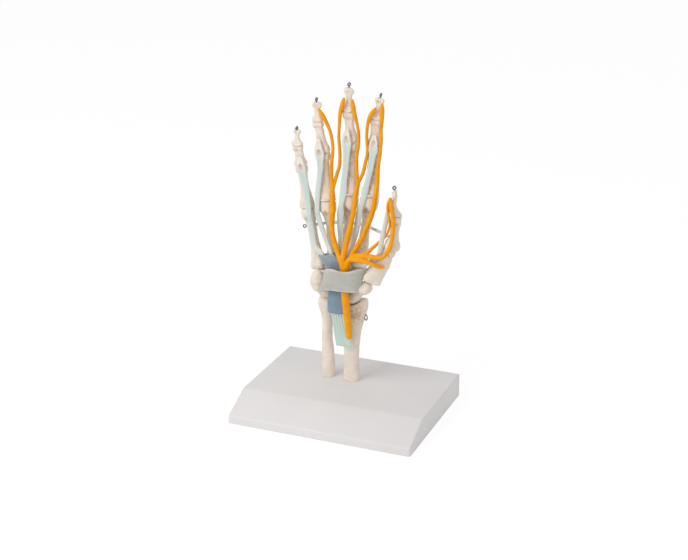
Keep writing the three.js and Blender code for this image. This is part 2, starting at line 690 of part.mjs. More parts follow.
// Wires
for (const [rayName, ray] of Object.entries(rays)) {
  const points = rayWirePoints(ray);
  const last = ray.bones.at(-1);
  const turn = rad(ray.eyeTurn);
  const side = v(Math.cos(turn), Math.sin(turn), 0);
  side.addScaledVector(last.axis, -side.dot(last.axis)).normalize();
  const stops = [...points.map((p) => p.toArray()), ...eyeStops(points.at(-1), last.axis, side)];
  const sized = stops.map((p) => [...p, wireDiameter, wireDiameter]);
  const faceWay = last.axis.clone().cross(side);
  add(`ray_wire_${rayName}`, strap(sized, { sides: wireSides, face: faceWay }), steel);
}
const eyeUp = v(0, 0, 1).addScaledVector(crossWay, -crossWay.z).normalize();
const crossStops = [strutEnd, ...crossPoints.toReversed(), crossEyeFoot].map((p) => p.toArray());
const crossWire = [...crossStops, ...eyeStops(crossEyeFoot, crossWay, eyeUp)];
add('cross_wire', strap(crossWire.map((p) => [...p, wireDiameter, wireDiameter]),
  { sides: wireSides, face: crossWay.clone().cross(eyeUp) }), steel);
const wristUp = v(0, 0, -1).addScaledVector(wristWay, wristWay.z).normalize();
const wristStops = [wristStart, wristEnd].map((p) => p.toArray());
const wristWire = [...wristStops, ...eyeStops(wristEnd, wristWay, wristUp)];
add('wrist_wire', strap(wristWire.map((p) => [...p, wireDiameter, wireDiameter]),
  { sides: wireSides, face: wristWay.clone().cross(wristUp) }), steel);

// Sleeves that hold the metacarpals apart on the cross wire
function sleeve(from, to, name, ...cutters) {
  const way = to.clone().sub(from).normalize();
  const ends = [from, to].map((p) => p.toArray());
  const outer = solid(strap(ends.map((p) => [...p, sleeveDiameter, sleeveDiameter]), { sides: 8, face: v(0, 0, 1) }));
  const borePoints = [from.clone().addScaledVector(way, -1), to.clone().addScaledVector(way, 1)];
  const boreSize = sleeveDiameter - 2 * sleeveWall;
  const inner = solid(strap(borePoints.map((p) => [...p.toArray(), boreSize, boreSize]), { face: v(0, 0, 1) }));
  let body = outer.subtract(inner);
  cutters.forEach((cutter) => { body = body.subtract(cutter); });
  add(name, body, clear);
}
function sleeveBetween(from, to, fromHalf, toHalf, name) {
  const way = to.clone().sub(from).normalize();
  const start = from.clone().addScaledVector(way, fromHalf + seatGap);
  const end = to.clone().addScaledVector(way, -toHalf - seatGap);
  sleeve(start, end, name);
}
const halfWaist = (rayName, boneIndex = 0) => rays[rayName].bones[boneIndex].waist[0] / 2;
sleeveBetween(crossPoints[0], crossPoints[1], halfWaist('little') + 0.5, halfWaist('ring') + 0.4, 'sleeve_little_ring');
sleeveBetween(crossPoints[1], crossPoints[2], halfWaist('ring') + 0.4, halfWaist('middle') + 0.3, 'sleeve_ring_middle');
sleeveBetween(crossPoints[2], crossPoints[3], halfWaist('middle') + 0.3, halfWaist('index') + 0.3,
  'sleeve_middle_index');
sleeveBetween(crossPoints[3], strutEnd, halfWaist('index') + 0.5, halfWaist('thumb', 1) + 0.5 - strutInset, 'sleeve_index_thumb');

// Tendons
const strandPitch = strandWidth + strandGap;
const slotX = (slot) => tunnelX + (slot - 2) * strandPitch;
const strandY = sheathBackY - sheathWall - softGap - strandDepth / 2;
function tunnelStops(slot) {
  const x = slotX(slot);
  const lower = [x + strandBottomShift, strandY - 0.6, strandBottom, strandWidth, strandDepth * 0.8];
  const halfWay = [x + strandBottomShift * 0.42, strandY, (strandBottom + sheathBottom) / 2, strandWidth, strandDepth];
  return [
    lower, halfWay,
    [x + 0.2, strandY, sheathBottom - 4, strandWidth, strandDepth],
    [x, strandY, sheathBottom + 3, strandWidth, strandDepth],
    [x, strandY, sheathStraightTop - 9, strandWidth, strandDepth],
  ];
}
function fingerDepth(part, share) {
  const shaftHalf = lerp(part.base[1], part.waist[1], Math.min(share * 2.2, 1)) * 0.46;
  const headHalf = part.head[1];
  const palmFace = share > 0.8 ? Math.max(shaftHalf, headHalf * 0.96) : shaftHalf;
  return palmFace + softGap + tendonThickness / 2;
}
function tendon({ ray, slot, mouth, palm, finger, slit }) {
  const stops = tunnelStops(slot);
  for (const [x, z, width, depth] of mouth) stops.push([x, strandY, z, width, depth]);
  for (const [boneIndex, share, side, width, depth] of palm) {
    stops.push([...beside(ray, boneIndex, share, side, depth).toArray(), width, tendonThickness]);
  }
  const [knuckle, digit] = rays[ray].bones;
  const ballDepth = knuckle.head[1] + softGap + tendonThickness / 2 + 0.3;
  const ballShare = knuckle.hingeZ / knuckle.length;
  const onBall = beside(ray, 0, ballShare, palm.at(-1)[2] * 0.6 + finger[0][2] * 0.4, ballDepth);
  stops.push([...onBall.toArray(), 5, tendonThickness]);
  for (const [boneIndex, share, side, width] of finger) {
    const part = rays[ray].bones[boneIndex];
    const depth = fingerDepth(part, share);
    stops.push([...beside(ray, boneIndex, share, side, depth).toArray(), width, tendonThickness]);
  }
  const slitDepth = digit.head[1] + softGap + slipThickness / 2 + 0.3;
  stops.push([...beside(ray, 1, 0.97, slit, slitDepth).toArray(), 9, slipThickness]);
  stops.push([...beside(ray, 2, 0.12, slit, slitDepth + 0.5).toArray(), 8, slipThickness]);
  stops.push([...beside(ray, 2, 0.26, slit, slitDepth - 0.6).toArray(), 5.6, slipThickness * 0.8]);
  const body = solid(strap(stops));
  const almond = new THREE.CylinderGeometry(0.5, 0.5, 30, 12);
  const place = new THREE.Matrix4().makeScale(tendonSlit[0], 1, tendonSlit[1]);
  place.premultiply(new THREE.Matrix4().setPosition(slit, 0, digit.length * 0.97));
  place.premultiply(digit.plainFrame);
  return body.subtract(solid(almond, place));
}
for (const [name, route] of Object.entries(tendons)) add(name, tendon(route), tendonPlastic);

const thumbStops = [
  ...tunnelStops(4),
  [-4, strandY, 137, 2.6, 3.6],
  [-2.6, strandY - 0.4, 143, 2.6, 2.4],
  [2.6, strandY - 1.4, 145, 3, 2.6],
  [11.4, 0.6, 145.6, 3.4, 2.4],
  [20, -2.6, 148.4, 3.6, 2.4],
  [27.8, -5.5, 155.3, 3.6, 2.4],
  [...beside('thumb', 0, 0.96, -10.4, 5).toArray(), 3.6, 2.4],
  [...beside('thumb', 1, 0.14, -11.6, 4.6).toArray(), 3.6, 2.4],
  [...beside('thumb', 1, 0.48, -11.4, 4).toArray(), 3.6, 2.4],
  [...beside('thumb', 1, 0.76, -8.8, 3.8).toArray(), 3.6, 2.4],
  [...beside('thumb', 2, 0.06, -7.8, 3.4).toArray(), 3.6, 2.2],
  [...beside('thumb', 2, 0.3, -5.6, 3).toArray(), 3, 1.8],
];
add('flexor_tendon_thumb', strap(thumbStops, { face: v(-0.35, 0.94, 0) }), tendonPlastic);

// Sheath: a flattened tube with a slanted mouth
const sheathWidth = 5 * strandWidth + 4 * strandGap + 2 * (sheathSlack + sheathWall);
const sheathDepth = strandDepth + 2 * (softGap + sheathWall);
const sheathY = sheathBackY - sheathDepth / 2;
function sheathTube(wall, reach) {
  const width = sheathWidth - 2 * wall;
  const depth = sheathDepth - 2 * wall;
  const rows = [
    [tunnelX, sheathBottom - reach, width, depth],
    [tunnelX, sheathBottom + 4, width, depth],
    [tunnelX, sheathStraightTop - 8, width, depth],
    [tunnelX, sheathStraightTop, width + 1, depth],
    [tunnelX + sheathMouthShift * 0.3, sheathStraightTop + 6, width + 5, depth],
    [tunnelX + sheathMouthShift * 0.78, sheathMouthTop + 1 + reach, sheathMouthWidth + 6 - 2 * wall, depth],
  ];
  return solid(loft(rows.map(([x, z, w, d]) => section(z, w, d, { square: 0.5, x, y: sheathY, sides: 12 }))));
}
let sheath = sheathTube(0, 0).subtract(sheathTube(sheathWall, 1));
for (const slope of [sheathCutSlope, -sheathMouthSlant]) {
  const cutWay = v(Math.sin(rad(slope)), 0, Math.cos(rad(slope)));
  sheath = sheath.subtract(beyond(v(sheathCutX, 0, sheathMouthTop), cutWay));
}
add('tendon_sheath', sheath, sheathPlastic);

// Median nerve: one tree of branches that lies on the sheath and runs out beside the fingers
const trunkY = sheathY - sheathDepth / 2 - softGap - trunkTop / 2;
const round = (point, size) => [...point.toArray(), size, size];
const nerveRoutes = {
  trunk: [
    [4.2, trunkY + 1.2, 73.8, 3, 3],
    [4, trunkY + 1.2, 75.4, trunkTip, trunkTip],
    [2.6, trunkY + 0.6, 96, 6.4, 6.4],
    [1.2, trunkY, 117, trunkTop, trunkTop],
    [0.4, trunkY, 134, trunkTop, trunkTop],
    [0.2, trunkY, 144.5, trunkTop - 0.8, trunkTop - 0.8],
  ],
  ringMiddle: [
    [-0.2, trunkY, 141, commonNerve, commonNerve],
    [-4.6, -2.4, 150.5, commonNerve, commonNerve],
    [-8.8, 0, 159, commonNerve, commonNerve],
    [-14.2, 2, 172.2, commonNerve, commonNerve],
    [-16.6, 4.6, 183.5, commonNerve, commonNerve],
    [-17.6, 7.2, 199, commonNerve, commonNerve],
    round(beside('ring', 1, 0.15, 8.6, 6.4), commonNerve),
    round(beside('ring', 1, 0.32, 9.4, 4.4), commonNerve * 0.85),
  ],
  middleIndex: [
    [0.8, trunkY, 141, commonNerve, commonNerve],
    [1.6, -2.8, 150, commonNerve, commonNerve],
    [2.6, -1.2, 161, commonNerve, commonNerve],
    [3.6, 1.4, 174.8, commonNerve, commonNerve],
    [5.6, 3.4, 187, commonNerve * 0.95, commonNerve * 0.95],
    [7.9, 4.6, 200.5, commonNerve * 0.9, commonNerve * 0.9],
    [7.5, 8, 211.5, commonNerve * 0.85, commonNerve * 0.85],
    round(beside('middle', 1, 0.2, 10.6, 5.4), commonNerve * 0.85),
    round(beside('middle', 1, 0.3, 10, 4.6), commonNerve * 0.8),
  ],
  indexSide: [
    [1.2, trunkY, 141, commonNerve, commonNerve],
    [4, -2, 149.5, commonNerve, commonNerve],
    [6.4, -0.4, 157, commonNerve, commonNerve],
    [11, 2.2, 166, commonNerve, commonNerve],
    [16.2, 3.6, 175.8, commonNerve, commonNerve],
    [22.2, 4.2, 193.5, commonNerve, commonNerve],
    [24.8, 4.8, 204, commonNerve * 0.95, commonNerve * 0.95],
    [25.8, 6, 215, commonNerve * 0.9, commonNerve * 0.9],
    round(beside('index', 1, 0.28, 7.6, 4.6), commonNerve * 0.85),
    round(beside('index', 1, 0.44, 8, 3.4), 3.8),
    round(beside('index', 1, 0.71, 8.2, 2.6), 3.6),
    round(beside('index', 2, 0.02, 9.2, 2), 3.4),
    round(beside('index', 2, 0.34, 8.6, 1.8), 3.3),
    round(beside('index', 2, 0.71, 7.6, 1.6), 3.2),
    round(beside('index', 3, 0.06, 7.6, 1.6), 3.2),
    round(beside('index', 3, 0.4, 5.6, 2), 3.1),
    round(beside('index', 3, 0.6, 4.8, 3.2), 2.4),
  ],
  ringThumbSide: [
    round(beside('ring', 1, 0.2, 8.8, 5.8), fingerNerve),
    round(beside('ring', 1, 0.53, 8.2, 2.8), fingerNerve),
    round(beside('ring', 1, 0.8, 9.2, 2.2), fingerNerve),
    round(beside('ring', 2, 0.04, 11.4, 1.6), fingerNerve),
    round(beside('ring', 2, 0.38, 12.2, 1.6), fingerNerve),
    round(beside('ring', 2, 0.71, 11.4, 1.6), fingerNerve),
    round(beside('ring', 3, 0.05, 9.4, 1.6), fingerNerve),
    round(beside('ring', 3, 0.4, 5.8, 3), fingerNerve),
    round(beside('ring', 3, 0.56, 3.4, 4), 2.4),
  ],
  middleLittleSide: [
    round(beside('ring', 1, 0.28, 9.2, 5), fingerNerve),
    round(beside('middle', 1, 0.37, -11, 3), fingerNerve),
    round(beside('middle', 1, 0.51, -9, 2.6), fingerNerve),
    round(beside('middle', 1, 0.69, -8.8, 2), fingerNerve),
    round(beside('middle', 1, 0.86, -9.6, 1.6), fingerNerve),
    round(beside('middle', 2, 0.06, -10.4, 1.6), fingerNerve),
    round(beside('middle', 2, 0.57, -9, 1.6), fingerNerve),
    round(beside('middle', 3, 0, -7.8, 1.6), fingerNerve),
    round(beside('middle', 3, 0.29, -6.2, 2.4), fingerNerve),
    round(beside('middle', 3, 0.44, -4.4, 3.6), 2.4),
  ],
  middleThumbSide: [
    round(beside('middle', 1, 0.22, 10.2, 5.4), fingerNerve),
    round(beside('middle', 1, 0.46, 8, 3.6), fingerNerve),
    round(beside('middle', 1, 0.63, 7.8, 3), fingerNerve),
    round(beside('middle', 1, 0.81, 8.6, 2), fingerNerve),
    round(beside('middle', 2, 0, 9.4, 1.6), fingerNerve),
    round(beside('middle', 2, 0.25, 9.2, 1.6), fingerNerve),
    round(beside('middle', 2, 0.57, 7.8, 1.6), fingerNerve),
    round(beside('middle', 3, 0, 7.6, 1.6), fingerNerve),
    round(beside('middle', 3, 0.3, 5.6, 2.4), fingerNerve),
    round(beside('middle', 3, 0.44, 3.8, 3.8), 2.4),
  ],
  indexLittleSide: [
    round(beside('middle', 1, 0.26, 10.2, 5), fingerNerve),
    round(beside('index', 1, 0.42, -8.6, 3.4), fingerNerve),
    round(beside('index', 1, 0.55, -7.8, 2.8), fingerNerve),
    round(beside('index', 1, 0.78, -7.6, 2.4), fingerNerve),
    round(beside('index', 1, 0.97, -8.8, 2), fingerNerve),
    round(beside('index', 2, 0.22, -9.2, 1.6), fingerNerve),
    round(beside('index', 2, 0.75, -8, 1.6), fingerNerve),
    round(beside('index', 3, 0.03, -7.6, 1.6), fingerNerve),
    round(beside('index', 3, 0.33, -5.2, 2.6), fingerNerve),
    round(beside('index', 3, 0.46, -3, 3.8), 2.4),
  ],
  thumbMain: [
    [1.4, trunkY, 142.6, commonNerve, commonNerve],
    [3.4, -4, 150.5, commonNerve, commonNerve],
    [9.8, -4.8, 157.2, commonNerve, commonNerve],
    [16.3, -6.2, 158.8, commonNerve, commonNerve],
    [23.9, -8.4, 160.4, commonNerve, commonNerve],
    [32.4, -10.8, 161, commonNerve * 0.95, commonNerve * 0.95],
    [39.8, -11.8, 162, 4.3, 4.3],
    [44.4, -12.2, 166, 4.2, 4.2],
    [47, -12.2, 171, 4.1, 4.1],
    round(beside('thumb', 1, 0.4, 0.6, 9), 3.8),
    round(beside('thumb', 1, 0.6, 0.6, 8.4), 3.6),
    round(beside('thumb', 1, 0.8, 0.8, 8.8), 3.5),
    round(beside('thumb', 2, 0.13, -0.8, 8.6), 3.4),
    round(beside('thumb', 2, 0.5, -2, 6.6), 3.2),
    round(beside('thumb', 2, 0.72, -2.6, 6), 2.6),
  ],
  thumbSecond: [
    [20.5, -8, 160.6, fingerNerve, fingerNerve],
    [23.6, -6.6, 163, fingerNerve, fingerNerve],
    [27, -4.4, 166.4, fingerNerve, fingerNerve],
    [30.6, -1.8, 170, fingerNerve, fingerNerve],
    [34.6, -0.8, 173.6, 3.1, 3.1],
    [38.2, -2.4, 175.6, 3, 3],
    round(beside('thumb', 1, 0.38, -7.4, 5.4), 3),
    round(beside('thumb', 1, 0.54, -5.2, 6.6), 3),
    round(beside('thumb', 1, 0.7, -3.4, 7.6), 3),
    round(beside('thumb', 1, 0.93, -3.8, 8.4), 3),
    round(beside('thumb', 2, 0.3, -4.6, 7.8), 3),
    round(beside('thumb', 2, 0.7, -3, 6.2), 2.6),
  ],
  thenar: [
    [5, -4.2, 153, commonNerve * 0.8, commonNerve * 0.8],
    [14.2, -7.4, 154.6, commonNerve * 0.8, commonNerve * 0.8],
    [23.9, -8.8, 155, commonNerve * 0.8, commonNerve * 0.8],
    [31.6, -8.2, 152.6, fingerNerve, fingerNerve],
    [36.6, -7.2, 151.4, fingerNerve, fingerNerve],
    [39.6, -6.2, 151, 2.2, 2.2],
  ],
};
let nerve = null;
for (const stops of Object.values(nerveRoutes)) {
  const branch = solid(strap(stops, { sides: nerveSides }));
  nerve = nerve ? nerve.add(branch) : branch;
}
add('median_nerve', nerve, nervePlastic);

// Band across the carpal tunnel, hollowed where it lies on the wrist bones
const bandStops = smooth(bandRoute.map((p) => [...p, 0, 0]), 2);
let band = solid(loft(bandStops.map((stop, k) => {
  const share = k / (bandStops.length - 1);
  const before = v(...bandStops[Math.max(k - 1, 0)]);
  const along = v(...bandStops[Math.min(k + 1, bandStops.length - 1)]).sub(before).normalize();
  const out = along.clone().cross(v(0, 0, 1)).normalize();
  const half = (bandHeight / 2) * (1 + 0.14 * Math.abs(2 * share - 1) ** 3);
  const corners = [[1, -1], [-1, -1], [-1, 1], [1, 1]];
  return corners.map(([a, b]) => {
    const corner = v(...stop).addScaledVector(out, (a * bandThickness) / 2);
    const slant = lerp(bandEndSlants[0], bandEndSlants[1], share) * Math.abs(2 * share - 1);
    return corner.add(v(b * half * slant, 0, b * half));
  });
})));
for (const name of ['pisiform', 'trapezium', 'scaphoid', 'hamate']) {
  band = band.subtract(oval(carpals[name], seatGap));
}
add('flexor_retinaculum', band, bandPlastic);

export default group;
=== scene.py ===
import math

import bmesh
import bpy
import numpy as np
from mathutils import Matrix


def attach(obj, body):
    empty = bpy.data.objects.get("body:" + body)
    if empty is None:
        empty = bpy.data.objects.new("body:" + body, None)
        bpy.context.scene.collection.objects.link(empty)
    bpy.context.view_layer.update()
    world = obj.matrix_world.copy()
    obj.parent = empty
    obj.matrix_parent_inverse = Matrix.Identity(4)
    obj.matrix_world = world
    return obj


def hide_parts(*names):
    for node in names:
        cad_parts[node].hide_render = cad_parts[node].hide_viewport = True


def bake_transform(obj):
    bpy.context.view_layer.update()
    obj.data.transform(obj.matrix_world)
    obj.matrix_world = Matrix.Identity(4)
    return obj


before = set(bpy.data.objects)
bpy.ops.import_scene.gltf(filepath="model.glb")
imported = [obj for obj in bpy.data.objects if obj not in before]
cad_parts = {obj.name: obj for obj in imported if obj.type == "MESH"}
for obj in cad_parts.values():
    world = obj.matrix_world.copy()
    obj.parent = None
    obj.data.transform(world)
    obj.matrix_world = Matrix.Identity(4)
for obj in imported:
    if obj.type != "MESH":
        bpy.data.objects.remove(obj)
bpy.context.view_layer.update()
scene = bpy.context.scene
MM = 0.001


def in_scene(name, data):
    """A new object of the scene with that mesh, lamp or camera."""
    obj = bpy.data.objects.new(name, data)
    scene.collection.objects.link(obj)
    return obj


def stance(right, up, back, place):
    """Matrix of a camera or lamp from its directions and its place in metres."""
    return Matrix([[*row, shift] for row, shift in zip(np.column_stack([right, up, back]), place)] + [[0, 0, 0, 1]])


# ---------------------------------------------------------------- camera, solved from the base's corners in the photo
CAMERA_TURN, CAMERA_LIFT, CAMERA_ROLL = 22.45, 20.974, -0.098
CAMERA_DISTANCE = 1378.027
AIM_SHIFT = (-1.74, 0.866)
AIM_HEIGHT = 130
LENS, SENSOR = 78.42, 36


def add_camera():
    turn, lift, roll = (math.radians(a) for a in (CAMERA_TURN, CAMERA_LIFT, CAMERA_ROLL))
    back = np.array([math.sin(turn) * math.cos(lift), -math.cos(turn) * math.cos(lift), math.sin(lift)])
    right = np.array([math.cos(turn), math.sin(turn), 0])
    up = np.cross(back, right)
    place = np.array([0, 0, AIM_HEIGHT]) + right * AIM_SHIFT[0] + up * AIM_SHIFT[1] + back * CAMERA_DISTANCE
    sideways = math.cos(roll) * right + math.sin(roll) * up
    upright = -math.sin(roll) * right + math.cos(roll) * up
    data = bpy.data.cameras.new("photo_camera")
    data.lens, data.sensor_width, data.sensor_fit = LENS, SENSOR, "HORIZONTAL"
    data.clip_start, data.clip_end = 0.05, 20
    camera = in_scene("photo_camera", data)
    camera.matrix_world = stance(sideways, upright, back, place * MM)
    scene.camera = camera


add_camera()

# ---------------------------------------------------------------- sizes, nearly all shared with the solids
BASE_WIDTH, BASE_DEPTH, BASE_HEIGHT = 180, 140, 22.4
LIP_HEIGHT, SLOPE_RUN, BASE_WALL = 8, 33.6, 3
BASE_EDGE = 1.5
RIB, RIB_COLUMNS, RIB_ROWS = 1.8, 6, 5
TOWER_WALL, TOWER_SINK, BOSS_HEIGHT = 2, 1, 8
SCREW_SHANK, SCREW_HEAD, SCREW_HEAD_HEIGHT, SCREW_BITE, SCREW_CLEARANCE = 4, 8, 2.6, 18, 0.35
THREAD_DEPTH, THREAD_STEP, RECESS_DEPTH = 0.35, 0.55, 0.9
JOINT_GAP, SEAT_GAP, SOFT_GAP = 0.5, 0.35, 0.35
FIXED_JOINT_GAP = 1.3  # between bones that do not turn on each other, where the photo shows a wide dark line
WIRE, EYE, EYE_STEM, EYE_WIRE, EYE_OPENING = 1.1, 2.7, 0.4, 1.35, 30
LITTLE_EYE_SUNK = 1.6
SLEEVE, SLEEVE_WALL, SLEEVE_IN_BONE = 2.8, 0.5, 0.8
DECK = BASE_HEIGHT + SEAT_GAP / 3

RADIUS_FOOT, ULNA_FOOT = (-2, 19), (-26, 20)
# Height above the base, shift to the thumb side, width, depth
RADIUS_ROWS = [
    (0, 0, 15.8, 12.6), (36, 0, 15.4, 12.4), (51, 0.6, 18, 13.5), (62, 0.3, 24.5, 16), (71, -0.2, 31, 18.8),
    (78, -0.4, 33.4, 20), (84, -0.2, 31.5, 19), (88, 0, 24, 15),
]
RADIUS_TOP, RADIUS_TOP_SLOPE, RADIUS_RIM = 99.2, 19, 88
ULNA_ROWS = [
    (0, 0, 12.4, 12), (20, -0.6, 11.6, 11.4), (38, -1.5, 10.2, 10.4), (56, -1.2, 10, 10.2), (65, -1.6, 12, 11.6),
    (72, -2.2, 15.2, 14.4), (76.5, -2.2, 15.8, 15), (79, -2.3, 13.6, 13), (80.2, -2.4, 8, 8),
]

# Wrist bones: centre, size, lean to the thumb side
CARPALS = {
    "scaphoid": ((4.3, 14.5, 112.4), (13, 15.5, 24), 38),
    "lunate": ((-9.5, 18, 109), (16, 18, 17), 0),
    "triquetrum": ((-26.5, 17, 113), (19, 16, 18), -20),
    "pisiform": ((-30.6, 5, 123.9), (14.6, 12, 21.5), 2),
    "trapezium": ((17.3, 5, 124.1), (12.6, 18, 14), 35),
    "trapezoid": ((5.5, 18, 133.5), (14.5, 17, 19), 8),
    "capitate": ((-8, 18.5, 127.5), (16, 18, 29), 2),
    "hamate": ((-24.5, 15.5, 128), (21, 17.5, 24), -8),
}
CARRIES = {"trapezium": ["thumb"], "trapezoid": ["index"], "capitate": ["middle"], "hamate": ["ring", "little"]}

# Digits: foot, twist, turn of the wire's eye, then each bone's name, length, lean to the thumb side, lean out of the
# palm, (width, depth) of its base and waist, and its head's (width, radius) or its tuft's (width, depth)
RAYS = {
    "thumb": ((21.1, 7, 128.5), -70, 30, [
        ("metacarpal_1", 46.4, 35.7, 11.2, (16, 18.5), (12, 13.5), (15, 8.2)),
        ("thumb_proximal_phalanx", 34.7, 4.4, 3.3, (15, 16.5), (10, 8.8), (12.4, 5.2)),
        ("thumb_distal_phalanx", 24.5, -4.9, 0, (12, 9.2), (7.4, 5.4), (9.4, 5.2)),
    ]),
    "index": ((6.2, 18, 143), 0, 85, [
        ("metacarpal_2", 68.2, 9.6, 1.7, (14.2, 16), (8.8, 9.4), (17, 8)),
        ("index_proximal_phalanx", 48.8, 6.1, 4.7, (16.4, 13), (10.4, 8.4), (12.6, 4.9)),
        ("index_middle_phalanx", 25.7, 5.6, 4.5, (14, 10.6), (8.8, 6.8), (10.4, 3.5)),
        ("index_distal_phalanx", 20, 11.6, 2.9, (11.4, 7.6), (5.8, 4.6), (8.3, 4)),
    ]),
    "middle": ((-6.9, 19, 141), 0, 60, [
        ("metacarpal_3", 67.6, 2.7, 0.8, (12.2, 16), (9, 9.8), (17, 8.2)),
        ("middle_proximal_phalanx", 52.2, 2.7, 3.8, (17, 13.4), (10.8, 8.6), (13, 5.1)),
        ("middle_middle_phalanx", 26.9, -2.4, 4.3, (14.6, 11), (8.4, 7), (10.6, 3.6)),
        ("middle_distal_phalanx", 22.4, 2.3, 2.6, (11.6, 8), (5.8, 4.8), (9, 4.2)),
    ]),
    "ring": ((-20, 18, 137.7), 0, 80, [
        ("metacarpal_4", 63.5, -4.7, 1.8, (11.6, 14), (7.6, 8.2), (15.8, 7.5)),
        ("ring_proximal_phalanx", 47.5, -2.7, 4.8, (15.8, 12.6), (10, 8), (12.2, 4.8)),
        ("ring_middle_phalanx", 28.5, -7.7, 5, (14.6, 10.6), (8.2, 6.6), (9.8, 3.4)),
        ("ring_distal_phalanx", 17.9, -0.5, 4.8, (10.8, 7.6), (5.6, 4.4), (9.2, 4)),
    ]),
    "little": ((-33.5, 16, 132.4), 0, 80, [
        ("metacarpal_5", 61.6, -9.4, 2.8, (13.4, 13), (8.8, 7.8), (14, 6.8)),
        ("little_proximal_phalanx", 41.5, -5.6, 6.2, (14.2, 11), (8.8, 7), (10.6, 4.2)),
        ("little_middle_phalanx", 18.9, -7.7, 6.1, (13, 9), (8.6, 5.8), (9.6, 3)),
        ("little_distal_phalanx", 15.4, 1.5, 5.6, (12, 6.8), (4.6, 3.8), (7, 3.4)),
    ]),
}

# Finger tendons: slot in the tunnel, stops at the sheath's mouth (x, z, width, depth), stops along the metacarpal
# (share, shift to the thumb side, width, distance in front) and along the proximal phalanx (share, shift, width), and
# the shift of the slit to the thumb side and towards the tip
TENDONS = {
    "index": (3, [(-6.6, 139, 2.8, 4), (-4.2, 146, 3.2, 3), (-0.6, 154, 4.6, 2.4)],
              [(0.3, -6.8, 5.4, 9.2), (0.5, -5.1, 5.8, 8.9), (0.79, -4.6, 5.6, 9.4)],
              [(0.07, -2.8, 5.6), (0.26, -2, 5.4), (0.6, 0.1, 5.4), (0.86, 1.3, 6.6)], (1.6, 5)),
    "middle": (2, [(-9.9, 140, 2.8, 4), (-9.4, 150, 3.6, 2.8), (-8.8, 157, 4.4, 2.4)],
               [(0.37, -2.9, 5.4, 9.6), (0.58, -4.3, 6.2, 9), (0.79, -4.1, 6.6, 9.6)],
               [(0.05, -3.2, 6.6), (0.28, -3, 6), (0.54, -1.9, 5.6), (0.84, -1, 6.8)], (-0.9, 3.2)),
    "ring": (1, [(-13.9, 141, 3, 4.2), (-16, 151, 3.8, 3)],
             [(0.4, -0.2, 4.8, 9.4), (0.66, -5, 5, 8.6), (0.79, -6.8, 5, 8.6)],
             [(0.07, -6.4, 5), (0.4, -4, 5), (0.66, -1.6, 5.4), (0.86, -0.6, 7)], (-0.4, 1.2)),
    "little": (0, [(-16.5, 136, 2.6, 4.2), (-17.6, 140, 2.6, 3.8), (-22.8, 146, 3.4, 3.4), (-27.2, 152.6, 5, 2.8)],
               [(0.4, 4.4, 6.2, 9.6), (0.68, 3.6, 5.6, 8.2), (0.8, 4, 5, 8)],
               [(0.1, 4, 5.2), (0.45, 3.4, 6.2), (0.68, 3, 7.4), (0.88, 2.8, 7.4)], (2.6, 0)),
}
TENDON, STRAND_WIDTH, STRAND_DEPTH, STRAND_GAP, SLIP = 2.4, 2.65, 5, 0.35, 1.9
SLIT_WIDTH, SLIT_LENGTH = 3.4, 8
MIDDLE_SLOT, THUMB_SLOT = 2, 4
BUNDLE_WIDTH, BUNDLE_SHIFT = 4.3, -1  # below the sheath the strands spread
STRAND_BOTTOM, STRAND_SHIFT = 63.5, 6.8
TENDON_FADE = {"index": 0.15, "middle": 0.2, "ring": 0.35, "little": 0.1}  # share of bone colour over the finger

# Tendon sheath and wrist band
TUNNEL_X, SHEATH_BACK, SHEATH_WALL, SHEATH_SLACK = -10.2, 8.6, 0.9, 0.7
SHEATH_BOTTOM, SHEATH_STRAIGHT, SHEATH_TOP, SHEATH_CORNER = 95.3, 138, 154, 4
MOUTH_SLANT, MOUTH_SHIFT, MOUTH_WIDTH = 15, -12, 19
CUT_X, CUT_SLOPE = -12.5, 55
BAND_THICKNESS = 1.8
# Upper and lower edge from the little finger's side to the thumb's
BAND_TOP = [
    (-18.9, -2.8, 140.3), (-14.6, -6.5, 142.1), (-9.7, -9.1, 143.4), (-2.9, -9.6, 142.5), (2.8, -9.4, 142.4),
    (8.7, -7.9, 143.6), (14.3, -3.8, 144.9), (18.4, 1.5, 144.4),
]
BAND_BOTTOM = [
    (-24.7, -2.8, 117.7), (-20.3, -6.3, 120), (-15, -8.2, 121.4), (-9.8, -9.1, 122.2), (-1.3, -9.6, 122.5),
    (5.9, -9.2, 122.8), (11.4, -6.6, 122.1), (14.2, -1.8, 121.6),
]

# Nerve
TRUNK, TRUNK_TIP, COMMON, FINGER_NERVE, WIDE_END = 7.2, 5.4, 4.8, 3.3, 3.9
NERVE_SIDES = 18

# Cross wire and wrist wire
CROSS_SHARES = {"little": 0.69, "ring": 0.64, "middle": 0.58, "index": 0.55}
CROSS_DEPTH, STRUT_SHARE, STRUT_INSET = 1.2, 0.36, 2.6
WRIST_START, WRIST_END, WRIST_EYE = (-26, 18.5, 88), (11.6, 17.5, 89), (2.6, 5.4)

# Size of the cells that shapes are melted together with
KNUCKLE_BONE_CELL, PHALANX_CELL, FOREARM_CELL, STRAP_CELL, NERVE_CELL = 0.62, 0.5, 0.6, 0.36, 0.45


